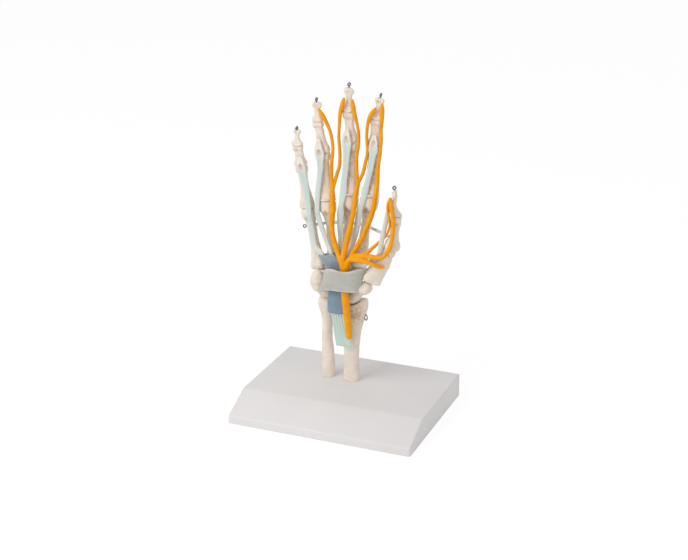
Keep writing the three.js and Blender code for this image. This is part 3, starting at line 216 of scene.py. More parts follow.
# ---------------------------------------------------------------- finishes
class Field:
    """A value that changes over a surface. Sums on it become Math nodes."""

    def __init__(self, nodes, socket):
        self.nodes, self.socket = nodes, socket

    def sum_with(self, operation, *values):
        return self.nodes.node("ShaderNodeMath", {"operation": operation}, dict(enumerate(values)))

    def __add__(self, other):
        return self.sum_with("ADD", self, other)

    __radd__ = __add__

    def __mul__(self, other):
        return self.sum_with("MULTIPLY", self, other)

    __rmul__ = __mul__

    def __sub__(self, other):
        return self.sum_with("SUBTRACT", self, other)

    def __rsub__(self, other):
        return self.sum_with("SUBTRACT", other, self)

    def held(self):
        """Kept between 0 and 1."""
        return self.nodes.node("ShaderNodeClamp", {}, {0: self})

    def between(self, low, high):
        """0 below low, 1 above high and smooth between them."""
        return self.nodes.node("ShaderNodeMapRange", {"interpolation_type": "SMOOTHSTEP"}, {0: self, 1: low, 2: high})


class Nodes:
    """The nodes of a finish, of the floor or of the backdrop."""

    def __init__(self, owner):
        owner.use_nodes = True
        self.tree = owner.node_tree

    def feed(self, node, values):
        """Sets or links a node's sockets."""
        for place, value in values.items():
            if isinstance(value, Field):
                self.tree.links.new(value.socket, node.inputs[place])
            else:
                node.inputs[place].default_value = value

    def node(self, kind, settings, values, output=0):
        made = self.tree.nodes.new(kind)
        for key, value in settings.items():
            setattr(made, key, value)
        self.feed(made, values)
        return Field(self, made.outputs[output])


class Finish(Nodes):
    """A material with a Principled shader."""

    def __init__(self, name, **plain):
        self.material = bpy.data.materials.new(name)
        super().__init__(self.material)
        self.shader = self.tree.nodes["Principled BSDF"]
        self.feed(self.shader, {socket.replace("_", " "): value for socket, value in plain.items()})

    def set(self, socket, value):
        self.feed(self.shader, {socket: value})

    def place(self):
        return self.node("ShaderNodeTexCoord", {}, {}, "Object")

    def stretched(self, scale):
        return self.node("ShaderNodeVectorMath", {"operation": "MULTIPLY"}, {0: self.place(), 1: scale})

    def noise(self, grain, detail=3, where=None):
        """Noise with lumps of that many millimetres."""
        return self.node("ShaderNodeTexNoise", {}, {"Vector": where or self.place(), "Scale": 1 / (grain * MM),
                                                    "Detail": detail}, "Fac" if "Fac" in NOISE_OUTPUTS else "Factor")

    def mixed(self, share, first, second):
        return self.node("ShaderNodeMix", {"data_type": "RGBA"}, {0: share, 6: first, 7: second}, 2)

    def field(self, name):
        return self.node("ShaderNodeAttribute", {"attribute_name": name}, {}, "Fac")

    def bump(self, height, depth, strength=1.0, under=None):
        """Normal from a height field, where 1 stands for depth in millimetres."""
        values = {"Strength": strength, "Distance": depth * MM, "Height": height}
        if under:
            values["Normal"] = under
        return self.node("ShaderNodeBump", {}, values, "Normal")


def noise_outputs():
    """Names of the noise node's outputs, which aren't the same in every Blender."""
    probe = bpy.data.materials.new("probe")
    probe.use_nodes = True
    names = [o.name for o in probe.node_tree.nodes.new("ShaderNodeTexNoise").outputs]
    bpy.data.materials.remove(probe)
    return names


NOISE_OUTPUTS = noise_outputs()


def rgb(*levels):
    return (*levels, 1)


def bone_finish():
    f = Finish("cast_bone", Specular_IOR_Level=0.35, Coat_Weight=0.05, Coat_Roughness=0.35)
    hollow = f.field("hollow")
    blotches = f.noise(9, 4)
    grain = f.noise(1.6, 3)
    tone = f.mixed(blotches.between(0.35, 0.68), rgb(0.85, 0.75, 0.645), rgb(0.79, 0.69, 0.58))
    # Painted shade: brown where the hollow field is high, in hollows, under the tendons and nerves and near the wrist
    # joint, mottled by the noise
    shade = (hollow * 2.1 + (blotches - 0.5) * 0.5 + (grain - 0.5) * 0.18).between(0.05, 0.95)
    tone = f.mixed(shade * 0.72, tone, rgb(0.47, 0.295, 0.17))
    # Painted highlight: lighter on raised parts
    painted_highlight = (0 - hollow).between(0.12, 0.5)
    tone = f.mixed(painted_highlight * 0.3, tone, rgb(0.9, 0.83, 0.73))
    f.set("Base Color", tone)
    f.set("Roughness", 0.47 + grain * 0.16)
    pores = f.noise(0.55, 2)
    f.set("Normal", f.bump(pores, 0.05, 0.5, f.bump(grain, 0.22, 0.7)))
    return f.material


def nerve_finish():
    f = Finish("nerve_plastic", Roughness=0.4, Coat_Weight=0.03, Coat_Roughness=0.2, Specular_IOR_Level=0.14)
    cloud = f.noise(7, 3)
    f.set("Base Color", f.mixed(cloud.between(0.3, 0.7), rgb(0.9, 0.395, 0.003), rgb(0.86, 0.325, 0.002)))
    f.set("Normal", f.bump(f.noise(2.4, 2), 0.12, 0.5))
    return f.material


def tendon_finish():
    f = Finish("tendon_plastic", Coat_Weight=0.1, Coat_Roughness=0.25, Specular_IOR_Level=0.4)
    across, fade = f.field("across"), f.field("fade")
    fibres = f.noise(1.2, 3, f.stretched((1, 1, 0.06)))
    cloud = f.noise(6, 3)
    edge = (across + (fibres - 0.5) * 0.5).between(0.35, 1.0)
    tone = f.mixed(edge, rgb(0.54, 0.68, 0.645), rgb(0.68, 0.755, 0.72))
    deep = ((cloud - 0.5) * 1.6 + (fibres - 0.5) * 1.2).held()
    tone = f.mixed(deep * 0.5, tone, rgb(0.46, 0.62, 0.585))
    tone = f.mixed(fade.held(), tone, rgb(0.79, 0.73, 0.655))
    # Painted shade of the bone seen through the slit: brown where fade passes 1
    tone = f.mixed((fade - 1).held(), tone, rgb(0.5, 0.31, 0.2))
    f.set("Base Color", tone)
    f.set("Roughness", 0.28 + fibres * 0.18)
    f.set("Normal", f.bump(fibres, 0.16, 0.6))
    return f.material


def sheath_finish():
    f = Finish("sheath_plastic", Coat_Weight=0.15, Coat_Roughness=0.25)
    cloud = f.noise(8, 4)
    fibres = f.noise(1.5, 3, f.stretched((1, 1, 0.1)))
    tone = f.mixed(cloud.between(0.3, 0.7), rgb(0.205, 0.305, 0.38), rgb(0.165, 0.25, 0.325))
    tone = f.mixed(f.field("pale") * 0.4, tone, rgb(0.4, 0.43, 0.415))
    f.set("Base Color", f.mixed(fibres.between(0.45, 0.8) * 0.3, tone, rgb(0.29, 0.38, 0.44)))
    f.set("Roughness", 0.4 + fibres * 0.14)
    f.set("Normal", f.bump(fibres, 0.12, 0.5, f.bump(cloud, 0.5, 0.4)))
    return f.material


def band_finish():
    f = Finish("band_plastic", Coat_Weight=0.2, Coat_Roughness=0.25)
    across = f.field("across")
    cloud = f.noise(6, 4)
    fibres = f.noise(1.1, 3, f.stretched((0.08, 0.2, 1)))
    tone = f.mixed((across + (cloud - 0.5) * 0.8).between(0.25, 1.0), rgb(0.45, 0.45, 0.395), rgb(0.63, 0.59, 0.54))
    tone = f.mixed(f.noise(13, 2).between(0.42, 0.62) * 0.45, tone, rgb(0.35, 0.38, 0.37))
    f.set("Base Color", f.mixed(fibres.between(0.4, 0.7) * 0.35, tone, rgb(0.56, 0.545, 0.505)))
    f.set("Roughness", 0.36 + fibres * 0.16)
    f.set("Normal", f.bump(fibres, 0.22, 0.7))
    return f.material


def wire_finish():
    f = Finish("steel_wire", Metallic=1.0)
    scuffs = f.noise(1.5, 3)
    f.set("Base Color", f.mixed(scuffs.between(0.35, 0.7), rgb(0.21, 0.21, 0.205), rgb(0.12, 0.12, 0.115)))
    f.set("Roughness", 0.26 + scuffs * 0.16)
    return f.material


def sleeve_finish():
    f = Finish("clear_sleeve", Roughness=0.3, Transmission_Weight=0.18, IOR=1.42)
    haze = f.noise(3, 3)
    f.set("Base Color", f.mixed(haze.between(0.35, 0.7), rgb(0.8, 0.81, 0.8), rgb(0.71, 0.73, 0.72)))
    return f.material


def base_finish():
    f = Finish("base_plastic", Specular_IOR_Level=0.4)
    cloud = f.noise(55, 3)
    grain = f.noise(0.7, 2)
    f.set("Base Color", f.mixed(cloud.between(0.3, 0.7), rgb(0.778, 0.757, 0.748), rgb(0.755, 0.733, 0.726)))
    f.set("Roughness", 0.5 + cloud * 0.1)
    f.set("Normal", f.bump(grain, 0.05, 0.35))
    return f.material


BONE, NERVE, SHEATH = bone_finish(), nerve_finish(), sheath_finish()
BAND, STEEL, CLEAR, BASE = band_finish(), wire_finish(), sleeve_finish(), base_finish()
TENDON_PLASTIC = tendon_finish()


# ---------------------------------------------------------------- shapes in mesh code
def unit(way):
    way = np.asarray(way, float)
    return way / np.linalg.norm(way, axis=-1, keepdims=True)


def about(axis, degrees):
    return np.array(Matrix.Rotation(math.radians(degrees), 3, axis))


def mix(a, b, share):
    return a + (b - a) * share


def around(sides, start=0.0):
    """Cosine and sine of turns spread evenly round a ring."""
    turn = 2 * np.pi * (np.arange(sides) + start) / sides
    return np.cos(turn), np.sin(turn)


def squared(values, power):
    """Cosines or sines that give an outline between an oval (1) and a box (0)."""
    return np.sign(values) * np.abs(values) ** power


def spline(rows, places, wanted):
    """Smooth rows through the given ones, at the wanted places along them."""
    rows, places = np.asarray(rows, float), np.asarray(places, float)
    slope = np.gradient(rows, places, axis=0)
    k = np.clip(np.searchsorted(places, wanted, side="right") - 1, 0, len(places) - 2)
    width = (places[k + 1] - places[k])[:, None]
    t = (np.asarray(wanted) - places[k])[:, None] / width
    return ((2 * t**3 - 3 * t**2 + 1) * rows[k] + (t**3 - 2 * t**2 + t) * width * slope[k]
            + (3 * t**2 - 2 * t**3) * rows[k + 1] + (t**3 - t**2) * width * slope[k + 1])


def smooth_route(stops, step=1.2):
    """More stops along the same smooth curve, about a step apart. A stop is x, y, z and its sizes."""
    stops = np.array(stops, float)
    chord = np.linalg.norm(np.diff(stops[:, :3], axis=0), axis=1)
    places = np.concatenate([[0], np.cumsum(chord**0.5)])
    count = max(int(chord.sum() / step), 4)
    return spline(stops, places, np.linspace(0, places[-1], count + 1))


def loft(rings):
    """Closed surface through rings of equal length, as points and faces."""
    rings = np.asarray(rings, float)
    rows, sides = rings.shape[:2]
    points = np.vstack([rings.reshape(-1, 3), rings[0].mean(0), rings[-1].mean(0)])
    a = np.arange(sides)
    b = (a + 1) % sides
    faces = []
    for start in range(0, (rows - 1) * sides, sides):
        faces += np.stack([start + a, start + b, start + sides + b, start + sides + a], 1).tolist()
    foot, last = rows * sides, (rows - 1) * sides
    faces += [[foot, j, i] for i, j in zip(a.tolist(), b.tolist())]
    faces += [[foot + 1, last + i, last + j] for i, j in zip(a.tolist(), b.tolist())]
    return points, faces


def closed_tube(rings):
    """Surface through rings and from the last one back to the first, as points and faces."""
    index = np.arange(rings.shape[0] * rings.shape[1]).reshape(rings.shape[:2])
    ahead = np.roll(index, -1, 0)
    faces = np.stack([index, np.roll(index, -1, 1), np.roll(ahead, -1, 1), ahead], 2).reshape(-1, 4)
    return rings.reshape(-1, 3), faces.tolist()


def joined(shapes):
    """Points and faces of several shapes in one."""
    points, faces, start = [], [], 0
    for own, own_faces in shapes:
        points.append(own)
        faces += [[start + i for i in face] for face in own_faces]
        start += len(own)
    return np.vstack(points), faces


def directions(line):
    """Unit direction of travel at each stop of a line."""
    ahead = np.vstack([line[1:], line[-1:]])
    behind = np.vstack([line[:1], line[:-1]])
    return unit(ahead - behind)


def sweep_rings(stops, sides=16, face=(0, 1, 0), square=1.0, ends=(True, True)):
    """Oval rings along stops of x, y, z, width and depth. face is the depth direction; ends are rounded off."""
    stops = np.asarray(stops, float)
    along = directions(stops[:, :3])
    face = np.broadcast_to(np.asarray(face, float), along.shape)
    deep = unit(face - along * (face * along).sum(1, keepdims=True))
    wide = np.cross(deep, along)
    c, s = (squared(values, square) for values in around(sides, 0.5))
    rings = (stops[:, None, :3] + wide[:, None] * (c[:, None] * stops[:, None, 3:4]) / 2
             + deep[:, None] * (s[:, None] * stops[:, None, 4:5]) / 2)
    for end, way in ((0, -1), (-1, 1)):
        if ends[end]:
            middle, tip = stops[end, :3], rings[end]
            reach = min(stops[end, 3], stops[end, 4]) * 0.5 * 0.7
            dome = [middle + (tip - middle) * math.cos(a) + along[end] * way * reach * math.sin(a)
                    for a in np.radians([28, 52, 72, 84])]
            rings = np.concatenate([dome[::-1], rings]) if end == 0 else np.concatenate([rings, dome])
    return rings


class Skin:
    """A surface as arrays, for shaping point by point."""

    def __init__(self, points, faces, edges):
        self.points, self.faces, self.edges = points, faces, edges

    def normals(self):
        p = self.points[self.faces]
        across = np.cross(p[:, 2] - p[:, 0], p[:, -1] - p[:, 1])
        total = np.zeros_like(self.points)
        for corner in self.faces.T:
            for axis in range(3):
                total[:, axis] += np.bincount(corner, across[:, axis], len(total))
        return unit(total + 1e-12)

    def evened(self, points, rounds, share=0.5):
        count = np.bincount(self.edges.ravel(), minlength=len(points))
        a, b = self.edges.T
        for _ in range(rounds):
            near = np.stack([np.bincount(a, points[b, axis], len(points)) + np.bincount(b, points[a, axis], len(points))
                             for axis in range(3)], 1) / count[:, None]
            points = mix(points, near, share)
        return points

    def even(self, rounds, share=0.5):
        self.points = self.evened(self.points, rounds, share)

    def push(self, amount):
        self.points = self.points + self.normals() * amount[:, None]

    def lump(self, centre, reach, height):
        """A rounded rise, or a dent where height is below zero."""
        away = (self.points - np.asarray(centre, float)) / np.asarray(reach, float)
        self.push(height * np.exp(-(away**2).sum(1)))

    def hollows(self, rounds=30):
        """How far each point lies below the softened surface, in millimetres."""
        return ((self.evened(self.points, rounds) - self.points) * self.normals()).sum(1)


def crease(obj, degrees=50):
    """Marks the edges that bend more than that as hard ones."""
    mesh = obj.data
    sharp = np.zeros(len(mesh.edges), bool)
    work = bmesh.new()
    work.from_mesh(mesh)
    for edge in work.edges:
        if len(edge.link_faces) == 2 and edge.calc_face_angle() > math.radians(degrees):
            sharp[edge.index] = True
    work.free()
    mesh.attributes.new("sharp_edge", "BOOLEAN", "EDGE").data.foreach_set("value", sharp)


def skin_of(mesh):
    points = np.empty(len(mesh.vertices) * 3)
    mesh.vertices.foreach_get("co", points)
    corners = np.empty(len(mesh.loops), int)
    mesh.loops.foreach_get("vertex_index", corners)
    edges = np.empty(len(mesh.edges) * 2, int)
    mesh.edges.foreach_get("vertices", edges)
    return Skin(points.reshape(-1, 3), corners.reshape(len(mesh.polygons), -1), edges.reshape(-1, 2))


def fused(shapes, grain):
    """Overlapping closed shapes melted into one even skin."""
    points, faces = joined(shapes)
    mesh = bpy.data.meshes.new("raw")
    mesh.from_pydata(points.tolist(), [], faces)
    raw = in_scene("raw", mesh)
    melt = raw.modifiers.new("melt", "REMESH")
    melt.mode, melt.voxel_size = "VOXEL", grain
    done = raw.evaluated_get(bpy.context.evaluated_depsgraph_get())
    skin = skin_of(done.to_mesh())
    done.to_mesh_clear()
    bpy.data.objects.remove(raw)
    bpy.data.meshes.remove(mesh)
    return skin


def lumpiness(points, size, seed, waves=14):
    """Smooth random rises and dips about that many millimetres long, between about -1 and 1."""
    draw = np.random.default_rng(seed)
    ways = unit(draw.normal(size=(waves, 3))) * (2 * np.pi / size) * draw.uniform(0.6, 1.5, (waves, 1))
    starts = draw.uniform(0, 2 * np.pi, waves)
    return np.sin(points @ ways.T + starts).sum(1) / math.sqrt(waves)


def piece(name, points, faces, finish, slot, body=None, stands_for=(), fields=None):
    """Makes one piece of the model from points in millimetres."""
    mesh = bpy.data.meshes.new(name)
    faces = faces.tolist() if isinstance(faces, np.ndarray) else faces
    mesh.from_pydata((np.asarray(points) * MM).tolist(), [], faces)
    mesh.polygons.foreach_set("use_smooth", [True] * len(mesh.polygons))
    for key, values in (fields or {}).items():
        mesh.attributes.new(key, "FLOAT", "POINT").data.foreach_set("value", np.asarray(values, np.float32))
    mesh.materials.append(finish)
    obj = in_scene(name, mesh)
    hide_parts(*stands_for)
    if body:
        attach(obj, body)
    return obj


# ---------------------------------------------------------------- digits
def body_of(ray, index):
    """The body that a bone of a digit rides on."""
    if ray == "thumb":
        return "thumb_tip" if index == 2 else "stand"
    return ["stand", f"{ray}_finger", f"{ray}_middle", f"{ray}_tip"][index]


# Painted shadow and warm reflection of the tendons and nerves on the palm side of a shaft, extra height of a head's far
# side, and bow towards the back of the hand
PAINTED_SHAFT_SHADE = {"metacarpal_2": 0.34, "metacarpal_3": 0.34, "metacarpal_4": 0.18, "index_proximal_phalanx": 0.26,
               "middle_proximal_phalanx": 0.26, "ring_proximal_phalanx": 0.1}
HEAD_RISE = {"thumb_proximal_phalanx": 2.2, "metacarpal_2": 4.2, "metacarpal_3": 3.8, "metacarpal_4": 3.8,
             "metacarpal_5": 1.8, "little_middle_phalanx": 1.4, "middle_middle_phalanx": 2.4}
BOWS = {"thumb_proximal_phalanx": -0.2, "thumb_distal_phalanx": -1.9}
HEAD_LEAD = 25  # degrees


class Bone:
    """One long bone of a digit, in its own frame: z along it, x across, -y towards the palm."""

    def __init__(self, ray, index, foot, twist, row, below):
        self.name, self.length, splay, pitch, self.base, self.waist, end = row
        self.below, self.knuckle = below, index == 0
        self.last = index == len(RAYS[ray][3]) - 1
        self.plain = about("Y", splay) @ about("X", pitch)
        self.turn = self.plain @ about("Z", twist)
        self.start = np.array(foot, float)
        self.axis = self.turn @ (0, 0, 1)
        self.end = self.start + self.axis * self.length
        self.body = body_of(ray, index)
        if self.last:
            self.tuft = end
        else:
            self.half, self.radius = end[0] / 2, end[1]
            self.rise = HEAD_RISE.get(self.name, 0)
            self.hinge_z = self.length - JOINT_GAP / 2 - self.radius
            self.hinge = self.start + self.axis * self.hinge_z

    def world(self, points):
        return self.start + points @ self.turn.T

    def local(self, points):
        return (points - self.start) @ self.turn

    def beside(self, share, side, palm):
        """A point at a share of the bone's length, shifted to the thumb side and towards the palm."""
        return self.start + self.plain @ (side, -palm, share * self.length)

    def cleared_reach(self, x, palm, up):
        """Reach of the head from its hinge, with its rise turned forward so that the next bone clears it when bent."""
        angle = np.clip(np.arctan2(up, palm) + math.radians(HEAD_LEAD), 0, np.pi / 2)
        return self.head_radius(x) + self.rise * np.sin(angle) ** 2

    def head_radius(self, x):
        share = np.clip(np.abs(x) / self.half, 0, 1)
        if self.knuckle:
            return self.radius * (1 - share**2) ** 0.4
        return self.radius * np.interp(share, [0, 0.28, 0.5, 0.66, 0.86, 1], [0.86, 0.91, 0.985, 1, 0.94, 0.76])


def lay_out():
    """The long bones of each digit, each set on the end of the one below."""
    digits = {}
    for ray, (foot, twist, _, rows) in RAYS.items():
        below, digits[ray] = None, []
        for index, row in enumerate(rows):
            below = Bone(ray, index, foot, twist, row, below)
            foot = below.end
            digits[ray].append(below)
    return digits


DIGITS = lay_out()
SEEDS = {name: 11 + 7 * k for k, name in enumerate(sorted(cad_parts))}


def shaft_rows(bone):
    """z, width, depth, squareness, flatness of the palm side and bow towards the back of the hand."""
    (bw, bd), (ww, wd) = bone.base, bone.waist
    long = bone.length - JOINT_GAP
    bottom = JOINT_GAP / 2 - (bone.below.radius * 0.42 if bone.below else 0)
    sq, fl = (0.74, 0.92) if bone.knuckle else (0.86, 0.9)
    bow = BOWS.get(bone.name, long * 0.014)
    boxy = bone.name == "metacarpal_1"

    def at(share, w, d, square=0.92, flat=0.84, bend=0.0):
        """Row at a share of the length, w and d of the way from the base's size to the waist's."""
        if boxy:
            square, flat = 0.66, 0.95
        return long * share, mix(bw, ww, w), mix(bd, wd, d), square, flat, bend

    rows = [
        (bottom, bw * 0.8, bd * 0.8, sq, fl, 0), (bottom + 0.9, bw * 0.93, bd * 0.92, sq, fl, 0),
        at(0.055, 0, 0, sq, fl), at(0.11, 0.06, 0.1, sq, fl, bow * 0.2), at(0.17, 0.3, 0.36, 0.84, 0.88, bow * 0.5),
        at(0.24, 0.56, 0.6, 0.88, 0.82, bow * 0.8), at(0.32, 0.78, 0.8, 0.9, 0.76, bow),
        at(0.42, 0.95, 0.94, 0.93, 0.74, bow), at(0.52, 1, 1, 0.95, 0.76, bow),
    ]
    if bone.last:
        tw, td = bone.tuft
        top = bone.length - JOINT_GAP / 2
        rows += [
            (long * 0.64, mix(ww, tw, 0.3), mix(wd, td, 0.3), 1, 0.85, bow * 0.5),
            (long * 0.74, tw * 0.92, td * 0.84, 0.95, 0.9, 0),
            (long * 0.84, tw, td, 0.9, 0.95, bow * 0.4 if bow < 0 else 0),
            (top - long * 0.07, tw * 0.9, td * 0.9, 0.95, 1, 0), (top - long * 0.02, tw * 0.66, td * 0.66, 1, 1, 0),
            (top, tw * 0.36, td * 0.36, 1, 1, 0),
        ]
        return rows
    neck_w = max(bone.half * 2 * 0.84, ww)
    neck_d = bone.radius * (1.5 if bone.knuckle else 1.6)
    rows += [
        (mix(long * 0.52, bone.hinge_z, 0.34), mix(ww, neck_w, 0.1), mix(wd, neck_d, 0.16), 0.95, 0.78, bow * 0.8),
        (mix(long * 0.52, bone.hinge_z, 0.64), mix(ww, neck_w, 0.4), mix(wd, neck_d, 0.5), 0.93, 0.84, bow * 0.4),
        (bone.hinge_z - bone.radius * 0.5, neck_w, neck_d, 0.9, 0.92, 0),
        (bone.hinge_z + bone.radius * 0.2, neck_w * 0.8, neck_d * 0.8, 0.9, 1, 0),
    ]
    return rows


def shaft_shape(bone, sides=40):
    rows = np.array(shaft_rows(bone), float)
    z = np.linspace(rows[0, 0], rows[-1, 0], 46)
    rows = spline(rows, rows[:, 0], z)
    c, s = around(sides)
    rings = []
    for z, width, depth, square, flat, bow in rows:
        x = squared(c, square) * width / 2
        y = squared(s, square) * depth / 2 * np.where(s < 0, flat, 1) + bow
        rings.append(np.stack([x, y, np.full(sides, z)], 1))
    return loft(rings)


def head_shape(bone, sides=44):
    x = bone.half * np.sin(np.linspace(-np.pi / 2, np.pi / 2, 27))
    radius = np.maximum(bone.head_radius(x), 0.05)
    c, s = around(sides)
    rings = []
    for a, r in zip(x, radius):
        reach = r + bone.rise * min(r / bone.radius, 1) * np.maximum(s, 0) ** 2
        rings.append(np.stack([np.full(sides, a), reach * c, bone.hinge_z + reach * s], 1))
    return loft(rings)


def clear_head(skin, bone):
    """Presses a bone's base back from the head that it turns on."""
    below = bone.below
    seen = below.local(bone.world(skin.points))
    off = seen[:, 1:] - (0, below.hinge_z)
    away = np.linalg.norm(off, axis=1)
    gap = FIXED_JOINT_GAP if bone.body == below.body else JOINT_GAP
    full = below.cleared_reach(seen[:, 0], -off[:, 0], off[:, 1]) + gap
    reach = np.where(np.abs(seen[:, 0]) < below.half + JOINT_GAP, full, 0)
    wanted = np.maximum(away, reach)
    seen[:, 1:] = (0, below.hinge_z) + off * (wanted / np.maximum(away, 1e-6))[:, None]
    skin.points = bone.local(below.world(seen))


def carve_knuckle_bone(skin, bone):
    """Metacarpal: corner tubercles, hollow palm side, keel, two palm condyles and a pit on each side of the head."""
    (bw, bd), (ww, wd), length = bone.base, bone.waist, bone.length
    for side in (-1, 1):
        skin.lump((side * bw * 0.4, -bd * 0.32, length * 0.08), (2.6, 3, 4), 0.7)
        skin.lump((side * bw * 0.5, bd * 0.1, length * 0.1), (2, 3, 4), -0.7)
        skin.lump((side * bw * 0.36, bd * 0.4, length * 0.09), (2.8, 2.6, 4.6), 0.6)
        skin.lump((side * bone.half * 0.5, -bone.radius * 0.86, bone.hinge_z - 1.5), (2.4, 3, 3.2), 0.75)
        skin.lump((side * bone.half * 0.92, 0.8, bone.hinge_z - 0.6), (2.4, 2.6, 2.8), -1.25)
        skin.lump((side * bone.half * 0.86, bone.radius * 0.4, bone.hinge_z - bone.radius * 0.75), (2.4, 2.6, 3), 0.8)
    skin.lump((0, -bd * 0.5, length * 0.16), (bw * 0.24, 3, length * 0.07), -0.8)
    skin.lump((0, -bone.radius * 0.85, bone.hinge_z - bone.radius * 0.55), (bone.half * 0.3, 3, 3.4), -0.9)
    skin.lump((0, -wd * 0.4, length * 0.46), (1.7, 3, length * 0.16), 0.45)
    skin.lump((0, wd * 0.5, length * 0.7), (ww * 0.36, 3, length * 0.14), -0.35)


def carve_phalanx(skin, bone):
    """Finger bone: base tubercles with a hollow between them, flat palm side with two ridges, pits in the head."""
    (bw, bd), (ww, wd), length = bone.base, bone.waist, bone.length
    for side in (-1, 1):
        skin.lump((side * bw * 0.36, -bd * 0.4, length * 0.07), (2.3, 2.4, 3), 0.6)
        skin.lump((side * ww * 0.42, -wd * 0.36, length * 0.48), (0.9, 1.6, length * 0.17), 0.4)
        skin.lump((side * bw * 0.47, bd * 0.12, length * 0.13), (1.8, 2.6, 3), -0.35)
    skin.lump((0, -bd * 0.5, length * 0.14), (bw * 0.2, 2.6, length * 0.09), -0.7)
    skin.lump((0, -wd * 0.5, length * 0.48), (ww * 0.24, 2, length * 0.2), -0.22)
    if bone.last:
        tw, td = bone.tuft
        for side in (-1, 1):
            skin.lump((side * tw * 0.42, 0, length * 0.8), (1.6, 2.2, 2), 0.5)
            skin.lump((side * ww * 0.55, 0, length * 0.56), (1.4, 2.4, 2.4), -0.35)
        skin.lump((0, -td * 0.2, length * 0.97), (tw * 0.2, 3, 1.6), -0.5)
        skin.lump((0, -td * 0.5, length * 0.8), (tw * 0.26, 2, 2.4), -0.6)
        rough = np.clip((skin.points[:, 2] - length * 0.66) / (length * 0.14), 0, 1)
        skin.push(rough * 0.28 * lumpiness(skin.points, 2.6, SEEDS[bone.name]))
        return
    for side in (-1, 1):
        skin.lump((side * bone.half * 0.98, 0.2, bone.hinge_z), (1.5, 1.9, 1.9), -0.85)
    skin.lump((0, -bone.radius * 0.9, bone.hinge_z - bone.radius), (bone.half * 0.44, 2.4, 2.6), -0.6)


def make_long_bone(bone):
    shapes = [shaft_shape(bone)] if bone.last else [shaft_shape(bone), head_shape(bone)]
    skin = fused(shapes, KNUCKLE_BONE_CELL if bone.knuckle else PHALANX_CELL)
    skin.even(4)
    (carve_knuckle_bone if bone.knuckle else carve_phalanx)(skin, bone)
    seed = SEEDS[bone.name] * 3
    skin.push(0.16 * lumpiness(skin.points, 8.5, seed) + 0.07 * lumpiness(skin.points, 3.2, seed + 1))
    if bone.below:
        clear_head(skin, bone)
        skin.even(1)
        clear_head(skin, bone)
    share = skin.points[:, 2] / bone.length
    # Painted shadow and warm reflection of the tendons and nerves on the palm side of the shaft, carried in the hollow
    # field
    shaft = np.clip(np.minimum(share - 0.1, 0.95 - share) * 6, 0, 1) * np.clip(-skin.normals()[:, 1] * 1.4, 0, 1)
    piece(f"{bone.name}_cast", bone.world(skin.points), skin.faces, BONE, "bone", bone.body, [bone.name],
          {"hollow": skin.hollows() + PAINTED_SHAFT_SHADE.get(bone.name, 0) * shaft})


THUMB_FOOT, THUMB_KNUCKLE = (22.1, 7, 132.4), (45.5, -2, 170.3)  # as the photo shows them


def between(name, foot, top, *sizes):
    """Row of a long bone from one point to another."""
    way = np.subtract(top, foot)
    length = float(np.linalg.norm(way))
    return (name, length, math.degrees(math.atan2(way[0], way[2])), math.degrees(math.asin(-way[1] / length)), *sizes)


def thumb_as_seen():
    """The first two thumb bones do not turn on each other, so their joint sits where the photo shows it."""
    twist = RAYS["thumb"][1]
    last_joint, tip = DIGITS["thumb"][1:]
    first = Bone("thumb", 0, THUMB_FOOT, twist,
                 between("metacarpal_1", THUMB_FOOT, THUMB_KNUCKLE, (16.5, 18.5), (14, 15), (13.5, 6.6)), None)
    top = last_joint.hinge + last_joint.axis * (last_joint.radius + JOINT_GAP / 2)
    second = Bone("thumb", 1, THUMB_KNUCKLE, twist,
                  between("thumb_proximal_phalanx", THUMB_KNUCKLE, top, (15, 14.6), (10, 9.4), (12.4, 5.2)), first)
    return [first, second, tip]


AS_SEEN = {**DIGITS, "thumb": thumb_as_seen()}
for digit in AS_SEEN.values():
    for bone in digit:
        make_long_bone(bone)


# ---------------------------------------------------------------- wrist bones
def reach_towards(carpal, way):
    _, size, lean = carpal
    local = way @ about("Y", lean)
    return 1 / np.linalg.norm(local / (np.array(size) / 2), axis=-1)


def seams(name):
    """Flat faces of a wrist bone: direction and distance from its centre."""
    own = CARPALS[name]
    centre = np.array(own[0], float)
    found = []
    for other_name, other in CARPALS.items():
        if other_name == name:
            continue
        way = np.array(other[0]) - centre
        distance = np.linalg.norm(way)
        way = way / distance
        mine, theirs = reach_towards(own, way), reach_towards(other, -way)
        if mine + theirs > distance * 0.8:
            found.append((way, distance * mine / (mine + theirs) - SEAT_GAP / 2))
    for ray in CARRIES.get(name, []):
        carried = AS_SEEN[ray][0]
        found.append((carried.axis, float((carried.start - centre) @ carried.axis) - SEAT_GAP / 2))
    return found


# Rises and dents of the wrist bones: centre, reach, height
CARPAL_BUMPS = {
    "scaphoid": [((7.4, -6.2, 5.2), (3.6, 4, 3.6), 1.2), ((-1, -7, -1), (4, 3, 4), -0.7),
                 ((8, -3, -6), (4, 6, 5), -1.8)],
    "pisiform": [((0, -5, 1), (4, 3, 5), 0.5)],
    "trapezium": [((-3.4, -7.4, 3), (2.2, 3.4, 5), 1.5), ((0.4, -8, 1), (1.6, 3, 5), -0.8)],
    "hamate": [((1.5, -8.4, -3), (3, 3.6, 3.6), 1.8)],
    "capitate": [((0, -8, 4), (3, 3, 6), 0.6)],
    "triquetrum": [((-5, -6, 0), (4, 3, 4), 0.6)],
    "lunate": [((0, -8, 0), (4, 3, 4), 0.6)],
    "trapezoid": [],
}
CARPAL_SHARPNESS = 13  # the higher, the flatter a wrist bone's seams


